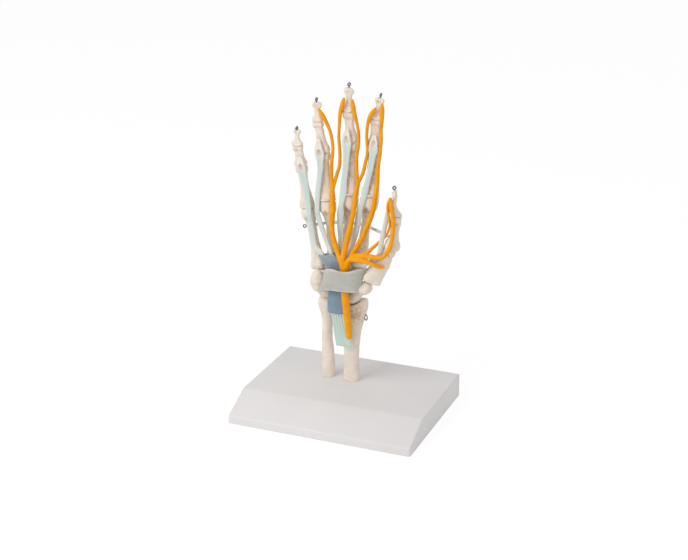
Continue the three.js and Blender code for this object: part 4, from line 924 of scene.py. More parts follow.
def make_carpal(name):
    own = CARPALS[name]
    ball = bmesh.new()
    bmesh.ops.create_icosphere(ball, subdivisions=5, radius=1)
    mesh = bpy.data.meshes.new("ball")
    ball.to_mesh(mesh)
    ball.free()
    skin = skin_of(mesh)
    bpy.data.meshes.remove(mesh)
    ways = unit(skin.points)
    total = reach_towards(own, ways) ** -CARPAL_SHARPNESS
    for way, distance in seams(name):
        facing = ways @ way
        total += np.where(facing > 0.02, (np.maximum(facing, 0.02) / distance) ** CARPAL_SHARPNESS, 0)
    skin.points = ways * total[:, None] ** (-1 / CARPAL_SHARPNESS)
    for centre, reach, height in CARPAL_BUMPS[name]:
        skin.lump(centre, reach, height)
    seed = SEEDS[name] * 3
    skin.push(0.3 * lumpiness(skin.points, 8, seed) - 0.08 + 0.09 * lumpiness(skin.points, 3, seed + 1))
    skin.even(2)
    for way, distance in seams(name):
        beyond = np.maximum(skin.points @ way - distance, 0)
        skin.points = skin.points - beyond[:, None] * way
    piece(f"{name}_cast", skin.points + own[0], skin.faces, BONE, "bone", "stand", [name], {"hollow": skin.hollows()})


for name in CARPALS:
    make_carpal(name)


# ---------------------------------------------------------------- forearm bones
# Rises and dents: centre as shifts from the foot and a height, reach, height of the rise
FOREARM_BUMPS = {
    "radius": [((3, -9, 92), (9, 5, 9), -1.3), ((-1, -8, 79), (5, 5, 12), -0.6), ((15, -2, 101), (4, 6, 5), 0.7),
               ((15.5, -1, 92), (3, 5, 5), -0.6), ((-15, 0, 94), (3, 5, 4), -0.9), ((2, 10, 97), (2.4, 4, 6), 1.3),
               ((7.5, -9.4, 98.2), (1.2, 2.4, 1.6), -0.55), ((3.9, -8.2, 89.6), (0.9, 2.2, 1.2), -1.0)],
    "ulna": [((-2, -7, 96), (4, 4, 6), -0.5), ((5.4, -1, 99.5), (3, 5, 3), 0.5), ((-1, -6, 76), (2, 4, 14), 0.5)],
}
FOOT_SUNK = 2


def forearm_shape(foot, rows, palm_flat=0.9, square=0.88, sides=48):
    """Shaft of a forearm bone, begun too low so that its foot stays sharp when it is cut at the base."""
    rows = np.array(rows, float)
    rows[0, 0] = -FOOT_SUNK
    rows = spline(rows, rows[:, 0], np.linspace(-FOOT_SUNK, rows[-1, 0], 70))
    c, s = around(sides)
    rings = []
    for height, shift, width, depth in rows:
        x = squared(c, square) * width / 2 + foot[0] + shift
        y = squared(s, square) * depth / 2 * np.where(s < 0, palm_flat, 1) + foot[1]
        rings.append(np.stack([x, y, np.full(sides, DECK + height)], 1))
    return loft(rings)


def under_carpal(points, name, grow):
    """Height of the underside of a wrist bone's oval over each point, or infinity beside it."""
    centre, size, lean = CARPALS[name]
    half = np.array(size) / 2 + grow
    turn = about("Y", lean)
    shape = turn @ np.diag(1 / half**2) @ turn.T
    flat = points[:, :2] - np.array(centre[:2])
    a = shape[2, 2]
    b = 2 * (flat @ shape[:2, 2])
    c = np.einsum("ni,ij,nj->n", flat, shape[:2, :2], flat) - 1
    inside = b**2 - 4 * a * c
    return np.where(inside > 0, centre[2] + (-b - np.sqrt(np.maximum(inside, 0))) / (2 * a), np.inf)


def under_wrist(points):
    """Height that the radius may reach under the two bones that it carries."""
    return np.minimum(under_carpal(points, "scaphoid", 1.2), under_carpal(points, "lunate", SEAT_GAP))


def carve_forearm(skin, name, foot):
    for (x, y, z), reach, height in FOREARM_BUMPS[name]:
        skin.lump((foot[0] + x, foot[1] + y, z), reach, height)


def seat_foot(skin):
    """Keeps the foot of a forearm bone flat on the base."""
    skin.points[:, 2] = np.maximum(skin.points[:, 2], DECK)


def make_radius():
    points, faces = forearm_shape(RADIUS_FOOT, RADIUS_ROWS)
    plane = RADIUS_TOP + math.tan(math.radians(RADIUS_TOP_SLOPE)) * (points[:, 0] - TUNNEL_X)
    top = np.minimum(plane, under_wrist(points))
    points[:, 2] = np.minimum(points[:, 2], np.maximum(top, RADIUS_RIM))
    skin = fused([(points, faces)], FOREARM_CELL)
    skin.even(4)
    carve_forearm(skin, "radius", RADIUS_FOOT)
    skin.push(0.22 * lumpiness(skin.points, 12, 5) + 0.08 * lumpiness(skin.points, 4, 6))
    top = under_wrist(skin.points)
    height = skin.points[:, 2]
    skin.points[:, 2] = np.where(height > RADIUS_RIM, np.minimum(height, top), height)
    seat_foot(skin)
    # Painted shade: darker towards the top of the radius under the wrist bones, carried in the hollow field
    painted_top_shade = 0.32 * np.clip((skin.points[:, 2] - 74) / 16, 0, 1)
    piece("radius_cast", skin.points, skin.faces, BONE, "bone", "stand", ["radius"],
          {"hollow": skin.hollows(40) + painted_top_shade})


def make_ulna():
    x, y = ULNA_FOOT
    top = DECK + ULNA_ROWS[-1][0]
    spur = [(x - 8.4, y + 3.4, top - 6, 5.6, 5.6), (x - 8.3, y + 3.5, top - 2, 4.9, 4.9),
            (x - 8.1, y + 3.7, top + 0.3, 2.6, 2.6)]
    skin = fused([forearm_shape(ULNA_FOOT, ULNA_ROWS), loft(sweep_rings(spur, 16))], FOREARM_CELL)
    skin.even(5)
    carve_forearm(skin, "ulna", ULNA_FOOT)
    skin.push(0.2 * lumpiness(skin.points, 11, 8) + 0.07 * lumpiness(skin.points, 4, 9))
    seat_foot(skin)
    piece("ulna_cast", skin.points, skin.faces, BONE, "bone", "stand", ["ulna"], {"hollow": skin.hollows(40)})


make_radius()
make_ulna()


# ---------------------------------------------------------------- wires, sleeves and screws
def tube(name, stops, finish, slot, body=None, stands_for=(), sides=12, face=(0, 1, 0)):
    return piece(name, *loft(sweep_rings(stops, sides, face)), finish, slot, body, stands_for)


def round_stops(points, size):
    """Stops of a round tube along the points."""
    return [(*p, size, size) for p in points]


def eye_stops(foot, rise, side, high=EYE, wide=EYE):
    """Bent end of a wire: a loop with a small opening, standing on foot in the direction of rise."""
    centre = foot + rise * (high / 2 + 0.2)
    turns = np.linspace(0.06, 1, 26) * (2 * np.pi - math.radians(EYE_OPENING))
    return [centre - rise * math.cos(a) * high / 2 + side * math.sin(a) * wide / 2 for a in turns]


def wire(name, points, body, node, face, size=WIRE):
    return tube(name, round_stops(points, size), STEEL, "steel", body, [node], 12, face)


def make_ray_wires():
    for ray, digit in DIGITS.items():
        node = f"ray_wire_{ray}"
        last = digit[-1]
        turn = math.radians(RAYS[ray][2])
        side = np.array([math.cos(turn), math.sin(turn), 0])
        side = unit(side - last.axis * (side @ last.axis))
        foot = last.end + last.axis * (EYE_STEM - (LITTLE_EYE_SUNK if ray == "little" else 0))
        stem = [last.start + last.axis * last.length * s for s in (0.35, 0.7, 0.9)] + [foot]
        wire(f"{ray}_wire_eye", stem + eye_stops(foot, last.axis, side), last.body, node, np.cross(last.axis, side),
             EYE_WIRE)
        for below, above in zip(digit, digit[1:]):
            reach = min(7.0, above.length * 0.3)
            ends = [below.hinge - below.axis * reach, below.hinge, above.start + above.axis * reach]
            line = smooth_route(round_stops(ends, WIRE), 0.8)
            link = tube(f"{above.name}_wire_link", line, STEEL, "steel", None, [node], 10)
            if below.body == above.body:
                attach(link, below.body)
            else:
                tuple((below.hinge - below.axis * 5) * MM)
                tuple((below.hinge + below.axis * 5) * MM)
                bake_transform(link)


def cross_points():
    return {ray: DIGITS[ray][0].beside(share, 0, -CROSS_DEPTH) for ray, share in CROSS_SHARES.items()}


def make_cross_wire():
    points = cross_points()
    line = list(points.values())
    full = DIGITS["thumb"][1].beside(STRUT_SHARE, 0, 0)
    strut_end = full - unit(full - line[-1]) * STRUT_INSET
    out = unit(line[0] - line[1])
    foot = line[0] + out * (DIGITS["little"][0].waist[0] / 2 + 0.9)
    up = unit(np.array([0, 0, 1]) - out * out[2])
    wire("cross_wire_rod", [strut_end, *line[::-1], foot, *eye_stops(foot, out, up)], "stand", "cross_wire",
         np.cross(out, up))
    half = {ray: digit[0].waist[0] / 2 for ray, digit in DIGITS.items()}
    # Each sleeve: its two ends on the wire, and how far from them the bones' sides lie
    spans = [
        ("sleeve_little_ring", line[0], line[1], half["little"] + 0.5, half["ring"] + 0.4),
        ("sleeve_ring_middle", line[1], line[2], half["ring"] + 0.4, half["middle"] + 0.3),
        ("sleeve_middle_index", line[2], line[3], half["middle"] + 0.3, half["index"] + 0.3),
        ("sleeve_index_thumb", line[3], strut_end, half["index"] + 0.5, 1),
    ]
    for node, a, b, from_half, to_half in spans:
        way = unit(b - a)
        make_sleeve(node, a + way * (from_half - SLEEVE_IN_BONE), b - way * (to_half - SLEEVE_IN_BONE))


def make_sleeve(node, start, end):
    """A clear tube with an open bore."""
    line = np.linspace(start, end, 14)
    outer, inner = (sweep_rings(round_stops(line, size), 24, (0, 0, 1), ends=(False, False))
                    for size in (SLEEVE, SLEEVE - 2 * SLEEVE_WALL))
    piece(f"{node}_tube", *closed_tube(np.concatenate([outer, inner[::-1]])), CLEAR, "sleeve", "stand", [node])


def make_wrist_wire():
    start, end = np.array(WRIST_START), np.array(WRIST_END)
    way = unit(end - start)
    down = unit(np.array([0, 0, -1]) + way * way[2])
    wire("wrist_wire_rod", [start, end, *eye_stops(end, way, down, *WRIST_EYE)], "stand", "wrist_wire",
         np.cross(way, down))


def lathe(profile, sides=40):
    """Rings of a turned shape from its radii and heights."""
    c, s = around(sides)
    return np.array([np.stack([r * c, r * s, np.full(sides, z)], 1) for r, z in profile])


def make_screw(name, foot):
    """Pan-head screw with a cross recess and a thread."""
    seat = BASE_HEIGHT - BASE_WALL - BOSS_HEIGHT - SEAT_GAP
    low = seat - SCREW_HEAD_HEIGHT
    r = SCREW_HEAD / 2
    profile = [(0.05, low + 1.2), (0.7, low + 1.2), (1.0, low + 0.1), (r * 0.45, low), (r * 0.72, low + 0.25),
               (r * 0.93, low + 0.9), (r, low + 1.5), (r, seat - 0.1), (r * 0.97, seat)]
    neck = SCREW_SHANK / 2
    thread = [(neck - (THREAD_DEPTH if k % 2 else 0), z) for k, z in
              enumerate(np.arange(seat + 0.2, DECK + SCREW_BITE - 1.6, THREAD_STEP))]
    profile += [(neck, seat + 0.05), *thread, (0.4, DECK + SCREW_BITE - 0.2), (0.05, DECK + SCREW_BITE)]
    rings = lathe(profile, 32)
    spin = np.arctan2(rings[:, :, 1], rings[:, :, 0])
    slot = np.abs(np.sin(2 * spin)) < 0.35
    head = (rings[:, :, 2] < low + 0.4) & (np.hypot(rings[:, :, 0], rings[:, :, 1]) < r * 0.6)
    rings[:, :, 2] += np.where(head & slot, RECESS_DEPTH, 0)
    piece(f"{name}_body", *loft(rings + (*foot, 0)), STEEL, "steel", "stand", [name])


make_ray_wires()
make_cross_wire()
make_wrist_wire()
make_screw("radius_screw", RADIUS_FOOT)
make_screw("ulna_screw", ULNA_FOOT)


# ---------------------------------------------------------------- tendons
STRAND_Y = SHEATH_BACK - SHEATH_WALL - SOFT_GAP - STRAND_DEPTH / 2


def tunnel_stops(slot):
    """Stops of a tendon from its cut end below the wrist to the top of the sheath's straight part."""
    off = slot - MIDDLE_SLOT
    x = TUNNEL_X + off * (STRAND_WIDTH + STRAND_GAP)
    half_way = (STRAND_BOTTOM + SHEATH_BOTTOM) / 2
    return [
        (x + STRAND_SHIFT + off * 0.1, STRAND_Y - 0.6, STRAND_BOTTOM, BUNDLE_WIDTH, STRAND_DEPTH * 0.8),
        (x + 3.4 - off * 0.15, STRAND_Y, half_way, BUNDLE_WIDTH, STRAND_DEPTH),
        (x + 1.2 - off * 0.4, STRAND_Y, SHEATH_BOTTOM - 4, 3.4, STRAND_DEPTH),
        (x + BUNDLE_SHIFT, STRAND_Y, SHEATH_BOTTOM + 5, STRAND_WIDTH, STRAND_DEPTH),
        (x, STRAND_Y, SHEATH_BOTTOM + 22, STRAND_WIDTH, STRAND_DEPTH),
        (x, STRAND_Y, SHEATH_STRAIGHT - 9, STRAND_WIDTH, STRAND_DEPTH),
    ]


def finger_depth(bone, share):
    """How far in front of a finger bone's axis its tendon runs."""
    shaft = mix(bone.base[1], bone.waist[1], min(share * 2.2, 1)) * 0.46
    return (max(shaft, bone.radius * 0.96) if share > 0.8 else shaft) + SOFT_GAP + TENDON / 2


def strap_fields(rings, fade):
    """How near each point of a strap lies to its edges, and how far it fades to bone colour."""
    rows, sides = rings.shape[:2]
    across = np.tile(np.abs(around(sides, 0.5)[0]), rows)
    fades = np.repeat(fade, sides)
    return {"across": np.concatenate([across, [0.5, 0.5]]), "fade": np.concatenate([fades, [fades[0], fades[-1]]])}


def make_finger_tendon(ray):
    slot, mouth, palm, finger, (slit, rise) = TENDONS[ray]
    knuckle, first = DIGITS[ray][:2]
    stops = tunnel_stops(slot) + [(x, STRAND_Y, z, w, d) for x, z, w, d in mouth]
    stops += [(*knuckle.beside(share, side, depth), w, TENDON) for share, side, w, depth in palm]
    ball_side = palm[-1][1] * 0.6 + finger[0][1] * 0.4
    ball_depth = knuckle.radius + SOFT_GAP + TENDON / 2 + 0.3
    stops.append((*knuckle.beside(knuckle.hinge_z / knuckle.length, ball_side, ball_depth), 5, TENDON))
    over_bone = [(*first.beside(share, side, finger_depth(first, share)), w, TENDON) for share, side, w in finger]
    node = f"flexor_tendon_{ray}"
    line = smooth_route(stops + over_bone, 1.3)
    cut = int(np.argmin(np.linalg.norm(line[:, :3] - over_bone[2][:3], axis=1)))
    rings = sweep_rings(line[:cut + 1], 20, square=0.85, ends=(True, False))
    height = rings[:, :, 2].mean(1)
    # Palest over the lower palm, above the sheath
    fade = TENDON_FADE[ray] * np.clip((height - SHEATH_TOP + 12) / 12, 0, 1)
    fade = fade + (0.75 - fade) * np.clip((180 - height) / 30, 0, 1) * np.clip((height - 125) / 10, 0, 1)
    palm_part = piece(f"{ray}_tendon_palm", *loft(rings), TENDON_PLASTIC, "tendon", None, [node],
                      strap_fields(rings, fade))
    crease(palm_part)
    tuple((knuckle.hinge - knuckle.axis * 7) * MM)
    tuple((knuckle.hinge + knuckle.axis * 9) * MM)
    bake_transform(palm_part)
    make_tendon_end(ray, line[cut - 2:], slit, rise, node)


def make_tendon_end(ray, line, slit, rise, node):
    """The flared end of a finger tendon, split by an oval slit over the joint."""
    first, second = DIGITS[ray][1:3]
    depth = first.radius + SOFT_GAP + SLIP / 2 + 0.3
    stops = [tuple(row) for row in line[::4]] + [
        (*first.beside(0.97, slit, depth), 9, SLIP), (*second.beside(0.12, slit, depth + 0.5), 8, SLIP),
        (*second.beside(0.28, slit, depth - 0.5), 5.8, SLIP * 0.8),
        (*second.beside(0.44, slit * 0.6, depth - 1.7), 3, SLIP * 0.5),
    ]
    full = smooth_route(stops, 0.6)
    along = directions(full[:, :3])
    side = unit(np.cross((0, 1, 0), along))
    middle = first.beside(0.97 + rise / first.length, slit, depth)
    far = np.clip(1 - ((full[:, :3] - middle) @ first.axis / (SLIT_LENGTH / 2)) ** 2, 0, 1)
    opening = SLIT_WIDTH * far**0.5
    shapes = []
    for way in (-1, 1):
        limb = full.copy()
        inner, outer = opening / 2 - 0.12 * (opening < 0.3), full[:, 3] / 2
        limb[:, :3] += side * (way * (inner + outer) / 2)[:, None]
        limb[:, 3] = outer - inner
        shapes.append(loft(sweep_rings(limb, 16, square=0.8)))
    floor = full * (1, 1, 1, 0.7, 0.4) + (0, 0.65, 0, 0, 0)
    shapes.append(loft(sweep_rings(floor[6:], 12, square=0.8)))
    skin = fused(shapes, STRAP_CELL)
    skin.even(3)
    skin.push(np.full(len(skin.points), 0.1))
    near = np.argmin(((skin.points[:, None] - full[None, ::3, :3]) ** 2).sum(2), 1)
    rows = full[::3][near]
    off = np.abs(((skin.points - rows[:, :3]) * side[::3][near]).sum(1))
    place = (skin.points - first.start) @ first.axis / first.length
    inside = 1 - off / np.maximum(opening[::3][near] / 2, 0.1)
    # Bone colour towards the tip, and painted shade in brown in the slit, where fade passes 1
    fade = np.clip((place - 0.8 - rise / first.length) / 0.24, TENDON_FADE[ray], 1) + 0.7 * np.clip(inside * 3, 0, 1)
    end = piece(f"{ray}_tendon_end", skin.points, skin.faces, TENDON_PLASTIC, "tendon", None, [node],
                {"across": np.clip(off / (rows[:, 3] / 2), 0, 1), "fade": fade})
    tuple((first.hinge - first.axis * 5) * MM)
    tuple((first.hinge + first.axis * 6) * MM)
    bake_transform(end)


def thumb_tendon_stops():
    _, first, last = DIGITS["thumb"]
    return tunnel_stops(THUMB_SLOT) + [
        (-4, STRAND_Y, 137, 2.6, 3.6), (-2.6, STRAND_Y - 0.4, 143, 2.6, 2.4), (2.6, STRAND_Y - 1.4, 145.6, 4.4, 2.6),
        (11.4, 0.6, 147, 5.4, 2.4), (20, -2.6, 150, 5, 2.4), (28.6, -5.2, 156, 4.2, 2.4),
        (35.3, -7.6, 163, 4.4, 2.4), (36.9, -8, 169.6, 4.6, 2.4), (*first.beside(0.3, -10.7, 5), 4.6, 2.4),
        (*first.beside(0.51, -9.8, 4.4), 4.4, 2.4), (*first.beside(0.81, -8.5, 3.8), 4.2, 2.4),
        (*last.beside(0.1, -7.4, 3.4), 4, 2.2), (*last.beside(0.3, -6, 3.2), 3, 1.8),
    ]


def across_thumb_joint(obj, before=5, after=6):
    first = DIGITS["thumb"][1]
    tuple((first.hinge - first.axis * before) * MM)
    tuple((first.hinge + first.axis * after) * MM)
    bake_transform(obj)


def make_thumb_tendon():
    line = smooth_route(thumb_tendon_stops(), 1.2)
    rings = sweep_rings(line, 18, (-0.35, 0.94, 0), 0.85)
    fade = 0.6 * np.clip((rings[:, :, 2].mean(1) - 136) / 8, 0, 1)
    tendon = piece("thumb_tendon_strap", *loft(rings), TENDON_PLASTIC, "tendon", None, ["flexor_tendon_thumb"],
                   strap_fields(rings, fade))
    across_thumb_joint(tendon)


for ray in TENDONS:
    make_finger_tendon(ray)
make_thumb_tendon()


# ---------------------------------------------------------------- sheath and band
SHEATH_WIDTH = 5 * STRAND_WIDTH + 4 * STRAND_GAP + 2 * (SHEATH_SLACK + SHEATH_WALL)
SHEATH_DEPTH = STRAND_DEPTH + 2 * (SOFT_GAP + SHEATH_WALL)
SHEATH_Y = SHEATH_BACK - SHEATH_DEPTH / 2
SHEATH_LEAN = -1.1
RIM_ROUND, RIM_RISE = 0.14, 0.16


def sheath_wall(turn, z, wall):
    """Point of the sheath's wall at each turn and height."""
    rows = np.array([
        (TUNNEL_X, SHEATH_WIDTH), (TUNNEL_X, SHEATH_WIDTH), (TUNNEL_X, SHEATH_WIDTH),
        (TUNNEL_X, SHEATH_WIDTH + 1), (TUNNEL_X + MOUTH_SHIFT * 0.3, SHEATH_WIDTH + 5),
        (TUNNEL_X + MOUTH_SHIFT * 0.78, MOUTH_WIDTH + 6),
    ])
    heights = np.array([SHEATH_BOTTOM - 1, SHEATH_BOTTOM + 4, SHEATH_STRAIGHT - 8, SHEATH_STRAIGHT,
                        SHEATH_STRAIGHT + 6, SHEATH_TOP + 1])
    x, width = spline(rows, heights, z).T
    x = x + SHEATH_LEAN * np.clip((SHEATH_BOTTOM + 26 - z) / 18, 0, 1)
    c, s = np.cos(turn), np.sin(turn)
    across = squared(c, 0.55) * (width / 2 - wall)
    through = squared(s, 0.55) * (SHEATH_DEPTH / 2 - wall)
    return np.stack([x + across, SHEATH_Y + through, z], 1)


def mouth_height(x):
    """Height of the sheath's cut top: steep on the thumb side and nearly level on the other."""
    diagonal = SHEATH_TOP - (x - CUT_X) * math.tan(math.radians(CUT_SLOPE))
    slant = SHEATH_TOP + (x - CUT_X) * math.tan(math.radians(MOUTH_SLANT))
    return np.minimum(diagonal, slant)


def make_sheath(sides=96, rows=40):
    turn = 2 * np.pi * np.arange(sides) / sides
    walls = []
    for wall in (0, SHEATH_WALL):
        low, high = np.full(sides, SHEATH_BOTTOM + 5.0), np.full(sides, SHEATH_TOP + 1.0)
        for _ in range(30):
            middle = (low + high) / 2
            under = middle < mouth_height(sheath_wall(turn, middle, wall)[:, 0])
            low, high = np.where(under, middle, low), np.where(under, high, middle)
        foot = sheath_wall(turn, np.full(sides, SHEATH_BOTTOM), wall)
        from_side = SHEATH_WIDTH / 2 - np.abs(foot[:, 0] - TUNNEL_X - SHEATH_LEAN)
        corner = np.clip(from_side, 0, SHEATH_CORNER)
        bottom = SHEATH_BOTTOM + SHEATH_CORNER - np.sqrt(SHEATH_CORNER**2 - (SHEATH_CORNER - corner) ** 2)
        walls.append([sheath_wall(turn, mix(bottom, low, k / (rows - 1)), wall) for k in range(rows)])
    outer, inner = np.array(walls)
    for side in (outer, inner):
        side[0, :, 2] += RIM_ROUND
        side[-1, :, 2] -= RIM_ROUND
    rim = (outer[-1] + inner[-1]) / 2 + (0, 0, RIM_RISE)
    hem = (outer[0] + inner[0]) / 2 - (0, 0, RIM_RISE)
    points, faces = closed_tube(np.concatenate([outer, [rim], inner[::-1], [hem]]))
    ripple = 0.16 * lumpiness(points, 12, 21)
    out = unit((points - (TUNNEL_X, SHEATH_Y, 0)) * (1, 1, 0))
    points = points + out * (ripple - 0.1)[:, None]
    piece("tendon_sheath_tube", points, faces, SHEATH, "sheath", "stand", ["tendon_sheath"],
          {"pale": np.clip((points[:, 2] - 136) / 12, 0, 1)})


def make_band(rows=15, count=60):
    top, bottom = (smooth_route(stops, 0.2) for stops in (BAND_TOP, BAND_BOTTOM))
    top, bottom = (edge[np.linspace(0, len(edge) - 1, count).astype(int)] for edge in (top, bottom))
    route, half = (top + bottom) / 2, (top - bottom) / 2
    out = unit(np.cross(directions(route), half))
    turn = np.linspace(0, 2 * np.pi, 2 * rows + 6, endpoint=False)
    up, face = squared(np.sin(turn), 0.7), squared(np.cos(turn), 0.3)
    points, faces = loft([middle + way * (face * BAND_THICKNESS / 2)[:, None] + reach * up[:, None]
                          for middle, way, reach in zip(route, out, half)])
    faces = [corners[::-1] for corners in faces]
    edges = np.concatenate([np.tile(np.abs(up), len(route)) ** 3, [0.5, 0.5]])
    folds = 0.14 * lumpiness(points * (0.25, 0.25, 1), 5, 33)
    normals = np.vstack([np.repeat(out, len(turn), 0), out[:1], out[-1:]])
    piece("wrist_band_strap", points + normals * folds[:, None], faces, BAND, "band", "stand",
          ["flexor_retinaculum"], {"across": edges})


make_sheath()
make_band()


# ---------------------------------------------------------------- nerve
TRUNK_Y = SHEATH_Y - SHEATH_DEPTH / 2 - SOFT_GAP - TRUNK / 2


def by(ray, index, share, side, palm, size):
    """A round stop beside a bone of a digit."""
    return (*DIGITS[ray][index].beside(share, side, palm), size, size)


def thick(x, y, z, size):
    """A round stop at a point."""
    return (x, y, z, size, size)


def nerve_piece(name, stops):
    return tube(name, smooth_route(stops, 0.9), NERVE, "nerve", None, ["median_nerve"], NERVE_SIDES)


# The tree in the palm
PALM_NERVE = {
    "trunk": [
        thick(3.9, TRUNK_Y + 1.2, 74.6, TRUNK_TIP * 0.9), thick(3.7, TRUNK_Y + 1.2, 76.5, TRUNK_TIP * 1.04),
        thick(2, TRUNK_Y + 0.6, 96, 6.4), thick(0.4, TRUNK_Y, 117, TRUNK), thick(-0.3, TRUNK_Y, 134, TRUNK),
        thick(-0.5, TRUNK_Y, 144.5, TRUNK),
    ],
    "ring_middle": [
        thick(-0.2, TRUNK_Y, 141, COMMON), thick(-4.6, -2.4, 150.5, COMMON), thick(-8.8, 0, 159, COMMON),
        thick(-14, 2, 172.2, COMMON), thick(-15.8, 4.6, 183.5, COMMON),
        thick(-15.4, 5.5, 194, COMMON * 1.08), thick(-15.8, 6.4, 201, COMMON), by("ring", 1, 0.13, 8.9, 7.5, COMMON),
        by("ring", 1, 0.3, 8.6, 4.9, COMMON * 0.8),
    ],
    "middle_index": [
        thick(-1.6, TRUNK_Y - 0.8, 138, COMMON), thick(-2, -3.8, 150, COMMON), thick(-0.4, -1.6, 161, COMMON),
        thick(1.8, 1.2, 174.8, COMMON), thick(4.2, 3.4, 187, COMMON * 0.95), thick(6.2, 4.6, 200.5, COMMON * 0.9),
        thick(6.3, 7.2, 211.5, COMMON * 0.85), by("middle", 1, 0.2, 9.8, 6, COMMON * 0.85),
        by("middle", 1, 0.28, 9.8, 4.8, COMMON * 0.76),
    ],
    "index_side": [
        thick(1.2, TRUNK_Y, 141, COMMON), thick(4, -2, 149.5, COMMON), thick(6.4, -0.4, 157, COMMON),
        thick(11, 2.2, 166, COMMON), thick(16.2, 3.6, 175.8, COMMON), thick(18.6, 3.8, 183, COMMON),
    ],
    "thumb_main": [
        thick(1.4, TRUNK_Y, 142.6, COMMON), thick(3.4, -4, 150.5, COMMON), thick(9.8, -4.8, 157.2, COMMON),
        thick(16.3, -6.2, 158.8, COMMON), thick(23.9, -8.4, 160.4, COMMON), thick(28, -9.6, 160.7, COMMON * 0.97),
    ],
    "thumb_second": [thick(20.5, -8, 160.6, FINGER_NERVE), thick(23.6, -6.6, 163, FINGER_NERVE),
                     thick(26, -5, 165.3, FINGER_NERVE)],
    "thenar": [
        thick(5, -4.2, 153, COMMON * 0.8), thick(14.2, -7.4, 154.6, COMMON * 0.8), thick(23.9, -8.8, 155, COMMON * 0.8),
        thick(31.6, -8.2, 152.6, FINGER_NERVE), thick(36.6, -7.2, 151.4, FINGER_NERVE * 0.95),
        thick(39.6, -6.2, 151, 2.2),
    ],
}


def make_palm_nerve():
    shapes = [loft(sweep_rings(smooth_route(stops, 1), 20)) for stops in PALM_NERVE.values()]
    skin = fused(shapes, NERVE_CELL)
    skin.even(6)
    skin.push(0.16 + 0.08 * lumpiness(skin.points, 9, 44))
    piece("nerve_palm", skin.points, skin.faces, NERVE, "nerve", "stand", ["median_nerve"])


# Finger nerves: stops as bone, share, shift to the thumb side, distance in front and diameter
INDEX_SIDE = [
    thick(16.4, 3.4, 177, COMMON), thick(18.7, 3.6, 183, COMMON), thick(22.8, 4, 193.5, COMMON),
    thick(25.4, 4.6, 204, COMMON * 0.95), thick(26.4, 5.8, 215, COMMON * 0.9),
] + [by("index", *row) for row in [
    (1, 0.28, 7.4, 4.9, COMMON * 0.85), (1, 0.44, 7.2, 4.8, 3.8), (1, 0.6, 6.9, 4.8, 3.6), (1, 0.74, 7.2, 5, 3.4),
    (1, 0.9, 7.8, 5.4, 3.3), (2, 0.09, 8, 5.6, 3.2), (2, 0.36, 7.8, 4.8, 3), (2, 0.63, 6.8, 4.2, 3),
    (2, 0.92, 7, 4.8, 3.3), (3, 0.28, 6.4, 5, 3.9), (3, 0.56, 5.2, 4.4, WIDE_END), (3, 0.76, 4.2, 4.2, 2.6),
]]
RING_THUMB_SIDE = [by("ring", *row) for row in [
    (1, 0.2, 8.8, 5.8, FINGER_NERVE), (1, 0.53, 8.2, 3.6, FINGER_NERVE), (1, 0.8, 9.2, 3, FINGER_NERVE),
    (2, 0.04, 11.2, 2.4, 3), (2, 0.38, 12, 2.4, 2.9), (2, 0.71, 11.4, 2.6, 3.1),
    (3, 0.07, 9.2, 3, 3.7), (3, 0.42, 6.2, 3.6, WIDE_END), (3, 0.66, 3.6, 4, 2.6),
]]
MIDDLE_LITTLE_SIDE = [by("ring", 1, 0.28, 9.2, 5, FINGER_NERVE)] + [by("middle", *row) for row in [
    (1, 0.37, -11, 3.4, FINGER_NERVE), (1, 0.51, -9, 3.6, FINGER_NERVE), (1, 0.69, -8.6, 3.6, 3),
    (1, 0.86, -9, 4, 3), (2, 0.06, -9.6, 4.2, 2.9), (2, 0.32, -9, 4, 2.8), (2, 0.59, -7.9, 4.2, 3),
    (2, 0.86, -6.8, 4.6, 3.4), (3, 0.1, -5.2, 5, 3.9), (3, 0.36, -3.8, 4.8, WIDE_END), (3, 0.54, -2.9, 4.6, 2.6),
]]
MIDDLE_THUMB_SIDE = [by("middle", *row) for row in [
    (1, 0.22, 10.2, 5.4, FINGER_NERVE), (1, 0.46, 8.4, 4.6, FINGER_NERVE), (1, 0.72, 8.1, 4.8, 3.2),
    (1, 0.83, 8.8, 5.2, 3), (1, 0.94, 9.8, 5.4, 3), (2, 0.24, 10.3, 5, 2.9), (2, 0.47, 9.5, 4.2, 2.9),
    (2, 0.79, 8.3, 4.4, 3.3), (3, 0.03, 7.5, 5, 3.8), (3, 0.27, 6.5, 5, WIDE_END), (3, 0.53, 5, 4.6, 2.6),
]]
INDEX_LITTLE_SIDE = [by("middle", 1, 0.26, 10.2, 5, FINGER_NERVE)] + [by("index", *row) for row in [
    (1, 0.42, -7.8, 3.8, FINGER_NERVE), (1, 0.53, -6.6, 4, FINGER_NERVE), (1, 0.71, -5.4, 4.4, 3.1),
    (1, 0.84, -4.2, 5.2, 3), (1, 0.96, -4.3, 5.6, 3), (2, 0.1, -5.2, 5.4, 2.9), (2, 0.3, -6.2, 4.6, 2.8),
    (2, 0.52, -6.5, 4.2, 2.9), (2, 0.81, -6, 4.4, 3.2), (3, 0.02, -4.7, 5, 3.7), (3, 0.27, -3.2, 4.8, WIDE_END),
    (3, 0.5, -1.1, 4.6, 2.6),
]]
THUMB_MAIN = [
    thick(25, -8.7, 160.5, COMMON), thick(32.4, -10.6, 161, COMMON * 0.95), thick(39.3, -11.2, 162.3, 4.3),
    thick(44.2, -11.6, 166.8, 4.2), thick(47, -11.8, 171.6, 4.1), by("thumb", 1, 0.34, -0.3, 8.8, 3.9),
    by("thumb", 1, 0.62, 0.7, 8.6, 3.8), by("thumb", 1, 0.84, 0.7, 8.8, 3.7), by("thumb", 2, 0.1, -0.3, 8.6, 3.6),
    by("thumb", 2, 0.45, -1.5, 7, 3.5), by("thumb", 2, 0.68, -1.9, 6.2, 3.1), by("thumb", 2, 0.76, -2, 6, 2.2),
]
